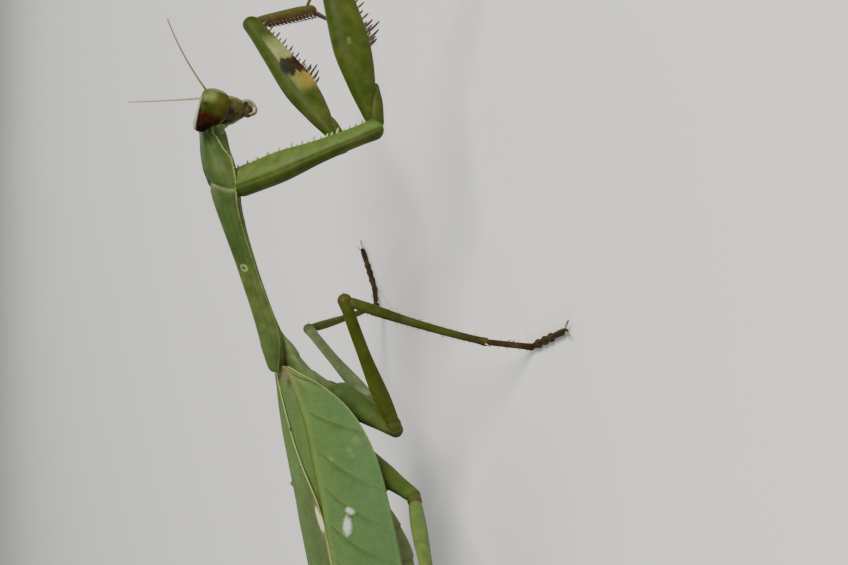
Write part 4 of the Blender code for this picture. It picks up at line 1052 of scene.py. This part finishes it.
feelers = {
    "length": 18.0, "beads": 62, "thick": (0.125, 0.06), "root": 0.27,
    "joints": (0.042, 0.072),    # where the two thick joints at the root end
    "tan": "8a8658", "tip": "83795a", "base": "5b6430",
    "ways": {"antenna_right": (-1, (-60, 36), (-74, 21)), "antenna_left": (1, (88, 33), (84, 17.5))},
}
for label, (side, first, last) in feelers["ways"].items():
    root = inHead(side * 0.75, -1.8, 1.87)
    path = arcTo(root, heading(*first), heading(*last), feelers["length"], 0.45, 400)
    t = np.linspace(0, 1, 400)
    one, two = feelers["joints"]
    thick = between(feelers["thick"], t) + (feelers["root"] - feelers["thick"][0]) * easeIn(0.07, 0.045, t)
    thick = thick - 0.06 * hill(t, one, 0.006) - 0.05 * hill(t, two, 0.006)
    thin = 2 + (t - two) / (1 - two) * feelers["beads"]
    beat = np.where(t < one, t / one, np.where(t < two, 1 + (t - one) / (two - one), thin))
    horns = tubesAlong(label + "Beads", [(path, thick, beat)], skinOf["feelerCuticle"], swell=0.18,
                       spacing=0.045, sides=14)
    along = (placesOf(horns) - root) @ unit(path[-1] - root) / feelers["length"]
    paint(horns, feelers["tan"], (easeIn(0.3, 1.0, along), feelers["tip"]),
          (easeIn(0.08, 0.03, along), feelers["base"]))
    finishPiece(horns, None, "antenna_cuticle", label)
print("antennae made")


# Legs: each is one skin over its segments, with spines and claws set into it
def limbPart(name, start, end, side, stops, bow=0.0, section=None):
    run = np.array(end) - start
    along = unit(run)
    depthWay = unit(np.cross(side, along))
    return {"name": name, "start": np.array(start), "run": run, "along": along, "depthWay": depthWay,
            "wideWay": np.cross(along, depthWay), "stops": stops, "bow": bow, "section": section}


def limbSizes(part, t):
    # half the width and half the depth, from (place, width, depth) stops
    return [smoothLine([(stop[0], stop[k]) for stop in part["stops"]], t) for k in (1, 2)]


def limbMiddle(part, t):
    # the line through a part, slightly bowed
    bowed = np.outer(part["bow"] * 4 * t * (1 - t), part["depthWay"])
    return part["start"] + np.outer(t, part["run"]) + bowed


def limbSide(part, t, turn):
    # from that line out to the skin, at a bearing in radians
    wide, deep = limbSizes(part, t)
    return part["wideWay"] * cos(turn) * wide + part["depthWay"] * sin(turn) * deep


def limbSkin(part, rows=70, around=40):
    # elliptic slices along a slightly bowed line, closed by round ends
    bend = np.linspace(pi / 2, 0, 9)[1:-1]
    t = np.concatenate([np.zeros(7), np.linspace(0, 1, rows), np.ones(7)])
    size = np.concatenate([np.cos(bend), np.ones(rows), np.cos(bend[::-1])])
    over = np.concatenate([-np.sin(bend), np.zeros(rows), np.sin(bend[::-1])])
    wide, deep = limbSizes(part, t)
    middle = limbMiddle(part, t) + np.outer(over * (wide + deep) / 2, part["along"])
    a = np.linspace(0, 2 * pi, around, endpoint=False)
    shape = part["section"](t[:, None], a[None, :]) if part["section"] else np.ones((len(t), around))
    acrossBy, downBy = (((half * size)[:, None] * shape * wave[None, :])[..., None]
                        for half, wave in ((wide, np.cos(a)), (deep, np.sin(a))))
    return ringSkin(middle[:, None, :] + (acrossBy * part["wideWay"] + downBy * part["depthWay"]))


def placeOn(points, parts):
    # for each point: its part, how far along it, its bearing round it in degrees (90 is the
    # side that a leg folds to), and how near it is to a joint between two parts
    far, found = [], []
    for part in parts:
        long = np.linalg.norm(part["run"])
        raw = (points - part["start"]) @ part["along"] / long
        t = np.clip(raw, 0, 1)
        wide, deep = limbSizes(part, t)
        off = points - limbMiddle(part, t)
        across, down = off @ part["wideWay"] / wide, off @ part["depthWay"] / deep
        beyond = (raw - t) * long / ((wide + deep) / 2)
        far.append(np.sqrt(across ** 2 + down ** 2 + beyond ** 2))
        found.append(np.stack([raw, across, down], 1))
    far, found = np.array(far), np.array(found)
    which = far.argmin(0)
    rows = np.arange(len(points))
    ordered = np.sort(far, 0)
    seam = np.exp(-((ordered[1] - ordered[0]) / 0.14) ** 2) if len(parts) > 1 else np.zeros(len(points))
    raw, across, down = found[which, rows].T
    return which, raw, np.degrees(np.arctan2(down, across)) % 360, seam


def dressLeg(name, parts, look, colour):
    # fuses a leg's parts, presses in its joints, colours it and rests it on the floor
    skin = fuseSkins(name + "Skin", [limbSkin(part) for part in parts], look["voxel"])
    which, t, turn, seam = placeOn(placesOf(skin), parts)
    push(skin, -look["seamDepth"] * seam)
    places = placesOf(skin)
    named = np.array([part["name"] for part in parts])[which]
    paint(skin, *colour(named, t, turn, places), (seam * 0.6, look["seam"]))
    places[:, 2] = np.maximum(places[:, 2], 0.01)
    setPlaces(skin, places)
    finishPiece(skin, skinOf["limbCuticle"], "leg_cuticle",
                *(f"{name}_{segment}" for segment in ("coxa", "femur", "tibia", "tarsus")))


def grooved(t, a):
    # a femur's underside has a channel between two keels, where the shin folds in
    channel = easeIn(0.25, 0.5, t) * easeIn(1.02, 0.9, t)
    keels = hill(a, pi / 2 - 0.62, 0.2) + hill(a, pi / 2 + 0.62, 0.2)
    back = 0.03 * hill(a, 3 * pi / 2, 0.3)
    return 1 - 0.17 * channel * hill(a, pi / 2, 0.34) + 0.05 * channel * keels + back


def threeSided(t, a):
    # a grasping leg's hip is a rod with three blunt edges
    return 1 + 0.07 * np.cos(3 * (a - 3 * pi / 2)) * easeIn(0.03, 0.2, t) * easeIn(1.0, 0.85, t)


foreleg = {
    "hip": (2.2, -26.3, 9.2), "voxel": 0.115, "seamDepth": 0.09,
    "coxa": 17.8, "trochanter": 3.8, "femur": 19.5, "tibia": 13.0, "tarsus": 11.0,
    "coxaStops": ((0, 1.5, 1.85), (0.25, 1.5, 2.0), (0.6, 1.2, 1.45), (0.86, 1.1, 1.25), (1, 1.2, 1.3)),
    "trochanterStops": ((0, 0.95, 0.95), (0.5, 1.0, 1.05), (1, 0.75, 0.8)),
    "femurStops": ((0, 0.65, 0.6), (0.06, 0.85, 0.95), (0.2, 1.2, 1.7), (0.43, 1.42, 2.4),
                   (0.74, 1.2, 1.85), (0.91, 1.1, 1.45), (1, 1.05, 1.3)),
    "tibiaStops": ((0, 0.7, 0.8), (0.2, 0.75, 1.0), (0.75, 0.85, 1.05), (1, 0.72, 0.85)),
    "tarsusStops": ((0, 0.27, 0.25), (0.75, 0.29, 0.3), (1, 0.36, 0.38)),
    "tarsusJoints": (0, 0.42, 0.58, 0.72, 0.83, 1.0),
    "sunk": 0.2,             # how far the roots of spines go into the skin
    "hipTeeth": (0.4, 0.6, 0.42, 0.72),
    # the rows beside the channel: lengths in turn, count, first and last place, bearing
    "thighRows": (((1.1, 0.55), 17, 0.42, 0.95, 120), ((1.3, 1.3), 4, 0.42, 0.84, 60)),
    "channelSpines": (1.1, 1.7, 2.1, 1.3),
    # light and dark: the hip's upper and lower faces, partly their own tones and partly painted light and
    # painted shade; dark also darkens the trochanter and a band on the femur
    "green": "2f3d0a", "light": "536a34", "dark": "2c3a0c", "edge": "5e662d",
    "cream": "777d4d", "black": "020512", "red": "210403", "amber": "7d6c2f", "brown": "3c2c10",
    "shin": "463e15", "foot": "473b1c", "seam": "3d3d14", "dot": "a5a878",
}


def makeForeleg(name, side, thighRoll, ways):
    base = inBody(*(np.array((-side, 1, 1)) * foreleg["hip"]))
    coxaWay, trochanterWay, femurWay, tibiaWay, tarsusWay = (heading(*way) for way in ways)
    coxaEnd = base + coxaWay * foreleg["coxa"]
    femurStart = coxaEnd + trochanterWay * foreleg["trochanter"]
    knee = femurStart + femurWay * foreleg["femur"]
    tibiaEnd = knee + tibiaWay * foreleg["tibia"]
    spineWay = unit(tibiaWay - femurWay * (tibiaWay @ femurWay))
    femurSide = unit(np.cross(femurWay, spineWay))
    coxaSide = unit(np.cross(trochanterWay, coxaWay))
    backWay = unit(-femurWay + tibiaWay * (femurWay @ tibiaWay))
    hip = limbPart("coxa", base, coxaEnd + np.cross(coxaSide, coxaWay) * 0.4, coxaSide,
                   foreleg["coxaStops"], section=threeSided)
    link = limbPart("trochanter", coxaEnd + trochanterWay * 0.5 + spineWay * 0.45,
                    femurStart + femurWay * 1.2 + spineWay * 0.35, femurSide, foreleg["trochanterStops"])
    thigh = limbPart("femur", coxaEnd + trochanterWay * 0.9 - spineWay * 0.35, knee, femurSide,
                     foreleg["femurStops"], 0.3, grooved)
    shin = limbPart("tibia", knee + tibiaWay * 0.9, tibiaEnd, femurSide, foreleg["tibiaStops"])
    # the thigh is rolled about its own length
    roll, across, down = radians(thighRoll), thigh["wideWay"], thigh["depthWay"]
    thigh["wideWay"] = across * cos(roll) + down * sin(roll)
    thigh["depthWay"] = down * cos(roll) - across * sin(roll)
    parts = [hip, link, thigh, shin]

    # the walking foot folds away beside the claw
    start = tibiaEnd - backWay * 0.7 - tibiaWay * 0.5
    toe = start + tarsusWay * foreleg["tarsus"]
    t = np.array(foreleg["tarsusJoints"])[:, None]
    knots = bendThrough(start, (start + toe) / 2 - backWay * 0.9, toe, t)
    for a, b in zip(knots[:-1], knots[1:]):
        parts.append(limbPart("tarsus", a + (b - a) * 0.04, b - (b - a) * 0.06, femurSide,
                              foreleg["tarsusStops"]))

    def colour(named, t, turn, places):
        coxa, femur, tibia = (named == part for part in ("coxa", "femur", "tibia"))
        t = (places - femurStart) @ femurWay / foreleg["femur"]
        downShin = (places - knee) @ tibiaWay / foreleg["tibia"]
        edgeShare = 0.6 if side > 0 else 0.25
        layers = [
            # the hip's lower face darker and its upper face lighter: part own tone, part painted shade and
            # painted light
            (coxa * easeIn(146, 132, turn) * 0.6, foreleg["dark"]),
            (coxa * easeIn(150, 165, turn) * easeIn(300, 275, turn) * 0.6, foreleg["light"]),
            (coxa * hill(turn, 144, 5) * 0.35, foreleg["edge"]),
            ((named == "trochanter") * 0.5, foreleg["dark"]),
            (femur * easeIn(262, 278, turn) * easeIn(330, 300, turn) * edgeShare, foreleg["edge"]),
            (femur * easeIn(165, 120, turn) * 0.5, foreleg["dark"]),
            (tibia * easeIn(0.0, 0.3, downShin) * 0.65, foreleg["shin"]),
            (tibia * easeIn(185, 140, turn) * 0.9, foreleg["brown"]),
            ((named == "tarsus") * 0.9, foreleg["foot"]),
        ]
        if name == "foreleg_left":
            # the bright inner face, which a mantis shows when it threatens
            inner = femur * easeIn(206, 196, turn) * easeIn(60, 80, turn)
            near = inner * easeIn(0.48, 0.45, t)
            ragged = 0.25 * np.sin(turn * 0.21 + t * 37) + 0.15 * np.sin(turn * 0.47 - t * 61)
            black = oval(t, 0.5, 0.085, turn, 183, 29) + ragged
            red = oval(t, 0.495, 0.09, turn, 130, 42) + ragged
            layers += [
                (near * easeIn(0.22, 0.34, t) * easeIn(215, 150, turn), foreleg["amber"]),
                (near * easeIn(0.22, 0.38, t) * easeIn(150, 200, turn) * 0.45, foreleg["cream"]),
                (inner * easeIn(0.55, 0.58, t) * easeIn(0.86, 0.7, t), foreleg["cream"]),
                (femur * easeIn(1.2, 0.8, black), foreleg["black"]),
                (femur * easeIn(1.3, 0.7, red), foreleg["red"]),
            ]
        else:
            dot = easeIn(1.2, 0.6, oval(t, 0.37, 0.025, turn, 195, 7))
            layers.append((femur * dot * 0.12, foreleg["dot"]))
        return foreleg["green"], *layers

    dressLeg(name, parts, foreleg, colour)

    # spines: pale teeth down the hip, then the grasping rows, dark at their tips
    dice = np.random.default_rng(5)
    roots = []

    def stand(part, t, bearing, way, length, radius, tone):
        # one spine on a part, its root sunk a little into the skin
        out = limbSide(part, t, radians(bearing))
        root = limbMiddle(part, t)[0] + out - unit(out) * foreleg["sunk"]
        roots.append((root, unit(way), part["along"], length + foreleg["sunk"], radius, tone))

    for i in range(20):
        tall = foreleg["hipTeeth"][i % 4] * (0.8 + 0.4 * dice.random())
        stand(hip, 0.08 + 0.84 * i / 19 + 0.012 * dice.random(), 268, -hip["depthWay"] + coxaWay * 0.3,
              tall, 0.24, -0.9)
    edge = thigh["depthWay"]
    for lengths, count, first, last, bearing in foreleg["thighRows"]:
        for i in range(count):
            t = first + (last - first) * i / (count - 1)
            stand(thigh, t, bearing, edge + femurWay * 0.45, lengths[i % 2], 0.2, 0.75)
    for i, length in enumerate(foreleg["channelSpines"]):
        stand(thigh, 0.41 + 0.035 * i, 90, edge + femurWay * 0.5, length, 0.24, 0.8)
    for row in (-1, 1):
        way = backWay + tibiaWay * 0.6 + femurSide * row * 0.3
        for i in range(12):
            t = 0.16 + 0.068 * i
            stand(shin, t, 90 + 32 * row, way, 0.6 + 0.55 * t, 0.16, 0.8)
    finishPiece(spinesAt(name + "Spines", roots, horn, bend=0.7, sides=9, steps=6), None, "leg_cuticle")
    # the big claw at the end of the shin, and the two small ones of the foot
    claws = [(tibiaEnd - tibiaWay * 0.35 + backWay * 0.1, unit(tibiaWay * 0.75 + backWay), backWay,
              3.5, 0.5, 0.75)]
    for way in (-femurSide, femurSide):
        claws.append((toe - tarsusWay * 0.1, unit(tarsusWay + way * 0.6), way, 0.75, 0.12, 0.6))
    finishPiece(spinesAt(name + "Claws", claws, horn, bend=1.0, sides=14, steps=9), None, "leg_cuticle")


makeForeleg("foreleg_right", 1, 0, ((-57, -49), (13.7, -6.3), (8, 17), (-12, -68), (-20, -35)))
makeForeleg("foreleg_left", -1, 26, ((33, -64), (35, 14), (34, 24), (53.4, -57), (35, -30)))
print("forelegs made")

walking = {
    "basitarsus": 4.8, "tarsus": 9.0, "footThick": 1.1, "voxel": 0.1, "seamDepth": 0.06,
    "coxaStops": ((0, 1.7, 1.9), (0.45, 1.45, 1.65), (0.85, 1.05, 1.15), (1, 1.0, 1.05)),
    "trochanterStops": ((0, 0.95, 1.0), (1, 0.9, 1.0)),
    "femurStops": ((0, 0.82, 0.92), (0.2, 0.92, 1.1), (0.6, 0.7, 0.82), (0.9, 0.68, 0.78), (1, 0.8, 0.92)),
    "tibiaStops": ((0, 0.6, 0.62), (0.12, 0.64, 0.7), (0.5, 0.5, 0.54), (0.94, 0.46, 0.48), (1, 0.55, 0.58)),
    "footStops": ((0, 0.38, 0.4), (0.8, 0.4, 0.42), (1, 0.48, 0.48)),
    "toeJoints": (0.3, 2.1, 3.7, 5.2, 8.6),
    "light": "5b692f", "knee": "36340e", "foot": "2a1d0c", "footDark": "21160c",
    "trochanter": "3b3f1d", "seam": "2c2a0e",
}
# coxa, femur and tibia colours, and the share of the trochanter's own
limbTones = {
    # the middle legs share one green: the near right one's thigh and shin are painted darker as painted
    # shade, the far left one's lighter as painted light
    "midleg_right": ("35481f", "313a02", "2b3306", 0.4),
    "midleg_left": ("35481f", "526043", "394511", 0.4),
    "hindleg_right": ("3c4f1d", "4f6434", "4d5427", 0.9),
    "hindleg_left": ("3c4f1d", "4f6434", "4d5427", 0.9),
}
# hip, hip length and way, thigh length and way, shin length and way, foot ways
gait = {
    "midleg_right": ((-2.4, 0.8, -4.0), 8.2, (-138, -46.5), 19.3, (-14.8, 26.4), 17.9, (-130, -63.7),
                     (-110, -66), (-74, 0)),
    "midleg_left": ((2.4, 0.8, -4.0), 8.2, (141, -69), 19.3, (57.5, 13), 17.9, (72, -54.5),
                    (55, -15), (40, 0)),
    "hindleg_right": ((-2.6, 8.4, -6.0), 9.2, (-158, -50), 22, (-125, 11), 21.5, (-140, -38),
                      (-135, -25), (-130, 0)),
    "hindleg_left": ((2.6, 8.4, -6.0), 9.2, (160, -52), 22, (122, 12), 21.5, (142, -38),
                     (135, -25), (132, 0)),
}


def makeWalkingLeg(name, hipAt, coxaLong, coxaWay, femurLong, femurWay, tibiaLong, tibiaWay, footWay, toeWay):
    coxaWay, femurWay, tibiaWay, footWay, toeWay = (
        heading(*way) for way in (coxaWay, femurWay, tibiaWay, footWay, toeWay))
    hip = inBody(*hipAt)
    coxaEnd = hip + coxaWay * coxaLong
    knee = coxaEnd + femurWay * femurLong
    ankle = knee + tibiaWay * tibiaLong
    heel = ankle + footWay * walking["basitarsus"]
    heel[2] = walking["footThick"] / 2
    level = unit((toeWay[0], toeWay[1], 0))
    toe = heel + level * walking["tarsus"]
    side = unit(np.cross(femurWay, tibiaWay))
    flat = np.array((-level[1], level[0], 0))
    parts = [
        limbPart("coxa", hip, coxaEnd, side, walking["coxaStops"]),
        limbPart("trochanter", coxaEnd, coxaEnd + femurWay * 1.2, side, walking["trochanterStops"]),
        limbPart("femur", coxaEnd + femurWay * 1.5, knee, side, walking["femurStops"], -0.25),
        limbPart("tibia", knee + tibiaWay * 0.8, ankle, side, walking["tibiaStops"], 0.3),
        limbPart("foot", ankle + footWay * 0.5, heel, side, walking["footStops"]),
    ]
    # lobes of the foot: each widens towards the toe and rests on a pad, but for the last
    joints = walking["toeJoints"]
    for a, b in zip(joints[:-1], joints[1:]):
        end = (1, 0.34, 0.4) if b == joints[-1] else (1, 0.6, 0.52)
        parts.append(limbPart("toe", heel + level * a, heel + level * (b - 0.25), flat,
                              ((0, 0.36, 0.38), (0.7, 0.42, 0.46), end)))

    def colour(named, t, turn, places):
        coxa, femur, tibia, foot, toes = (
            named == part for part in ("coxa", "femur", "tibia", "foot", "toe"))
        hipTone, thighTone, shinTone, share = limbTones[name]
        pad = easeIn(0.5, 0.15, places[:, 2])
        return (
            thighTone, (coxa, hipTone), ((named == "trochanter") * share, walking["trochanter"]),
            (tibia, shinTone),
            (femur * hill(turn, 270, 50) * 0.45, walking["light"]),
            (femur * easeIn(0.93, 1.0, t) * 0.6, walking["knee"]),
            (tibia * easeIn(0.05, 0.0, t) * 0.6, walking["knee"]),
            (tibia * easeIn(0.75, 1.0, t) * 0.7, walking["foot"]),
            (foot + toes * 1.0, walking["foot"]),
            (toes * (easeIn(0.7, 1.0, t) * 0.6 + pad * 0.6), walking["footDark"]),
        )

    dressLeg(name, parts, walking, colour)
    claws = [(toe - level * 0.5 + flat * s * 0.25, unit(level + flat * s * 0.5 + np.array((0, 0, 0.25))),
              (0, 0, -1), 1.35, 0.17, 0.55) for s in (-1, 1)]
    # two short spurs at the knee end of the shin and the ankle
    for end, way in ((knee, femurWay), (ankle, tibiaWay)):
        claws += [(end + side * s * 0.45, unit(way + side * s * 0.6), way, 0.75, 0.13, 0.5)
                  for s in (-1, 1)]
    finishPiece(spinesAt(name + "Claws", claws, horn, bend=1.2, sides=10, steps=7), None, "foot_cuticle")
    dice = np.random.default_rng(3)
    hairs = []
    for part, count in ((parts[3], 70), (parts[4], 22)):
        for _ in range(count):
            t, turn = 0.08 + 0.88 * dice.random(), 2 * pi * dice.random()
            out = limbSide(part, t, turn)
            hairs.append((limbMiddle(part, t)[0] + out * 0.95, unit(unit(out) + part["along"] * 0.9),
                          part["along"], 0.35, 0.028, 1.0))
    finishPiece(spinesAt(name + "Hairs", hairs, horn, bend=2.0, sides=4, steps=4), None, "leg_cuticle")


for name, pose in gait.items():
    makeWalkingLeg(name, *pose)
print("walking legs made")

# Studio: pale floor, soft light from the upper front, and the camera
studio = {
    "floorSize": 3000, "floor": "dad8d2", "floorShade": "d6d4ce", "sky": "e9ecee", "skyStrength": 0.4,
    "aim": (0, 0, 20),
    # where each light is, its size, watts and colour
    "lights": {
        "keyLight": ((-430, -440, 540), 380, 10.0, "fffaf2"),
        "fillLight": ((-420, 420, 360), 420, 2.0, "eef4ff"),
        "backLight": ((520, -120, 480), 420, 1.6, "f4f7ff"),
    },
}


def floorPaint():
    made, tree = startMaterial("paleFloor")
    place = addNode(tree, "ShaderNodeTexCoord").outputs["Object"]
    cloud = addNode(tree, "ShaderNodeTexNoise", {"Scale": 9.0, "Detail": 4.0}, {"Vector": place})
    shade = addNode(tree, "ShaderNodeMix", {"data_type": "RGBA", 6: rgba(studio["floorShade"]),
                    7: rgba(studio["floor"])}, {0: cloud})
    return endMaterial(made, {"Roughness": 0.85}, {"Base Color": shade.outputs[2]})


half = studio["floorSize"] / 2
corners = half * np.array(((-1, -1, 0), (1, -1, 0), (1, 1, 0), (-1, 1, 0)))
floorPiece = placeObject("floor", corners, [], [(0, 1, 2, 3)])
floorPiece.data.materials.append(floorPaint())

aim = Vector(studio["aim"])
for name, (place, size, watts, colour) in studio["lights"].items():
    made = bpy.data.lights.new(name, "AREA")
    made.shape, made.size, made.energy, made.color = "DISK", size * mm, watts, tuple(linear(colour))
    item = bpy.data.objects.new(name, made)
    item.location = Vector(place) * mm
    item.rotation_euler = (aim - Vector(place)).to_track_quat("-Z", "Y").to_euler()
    bpy.context.scene.collection.objects.link(item)
sky = bpy.data.worlds.new("softSky")
sky.use_nodes = True
glow = sky.node_tree.nodes["Background"].inputs
glow[0].default_value, glow[1].default_value = rgba(studio["sky"]), studio["skyStrength"]
bpy.context.scene.world = sky

camera = {
    "distance": 152.0, "tilt": 24.0, "right": 15.229, "up": 13.874,
    "lens": 50.0, "sensor": 36.0, "nearest": 5.0,
}
tilt = radians(camera["tilt"])
right, back = Vector((-sin(tilt), 0, -cos(tilt))), Vector((-cos(tilt), 0, sin(tilt)))
upward = back.cross(right)
view = bpy.data.cameras.new("camera")
view.lens, view.sensor_width, view.clip_start = camera["lens"], camera["sensor"], camera["nearest"] * mm
viewer = bpy.data.objects.new("camera", view)
turned = Matrix((right, upward, back)).transposed().to_4x4()
middle = thoraxMiddle + back * camera["distance"] + right * camera["right"] + upward * camera["up"]
viewer.matrix_world = Matrix.Translation(middle * mm) @ turned
bpy.context.scene.collection.objects.link(viewer)
bpy.context.scene.camera = viewer
print("studio made")
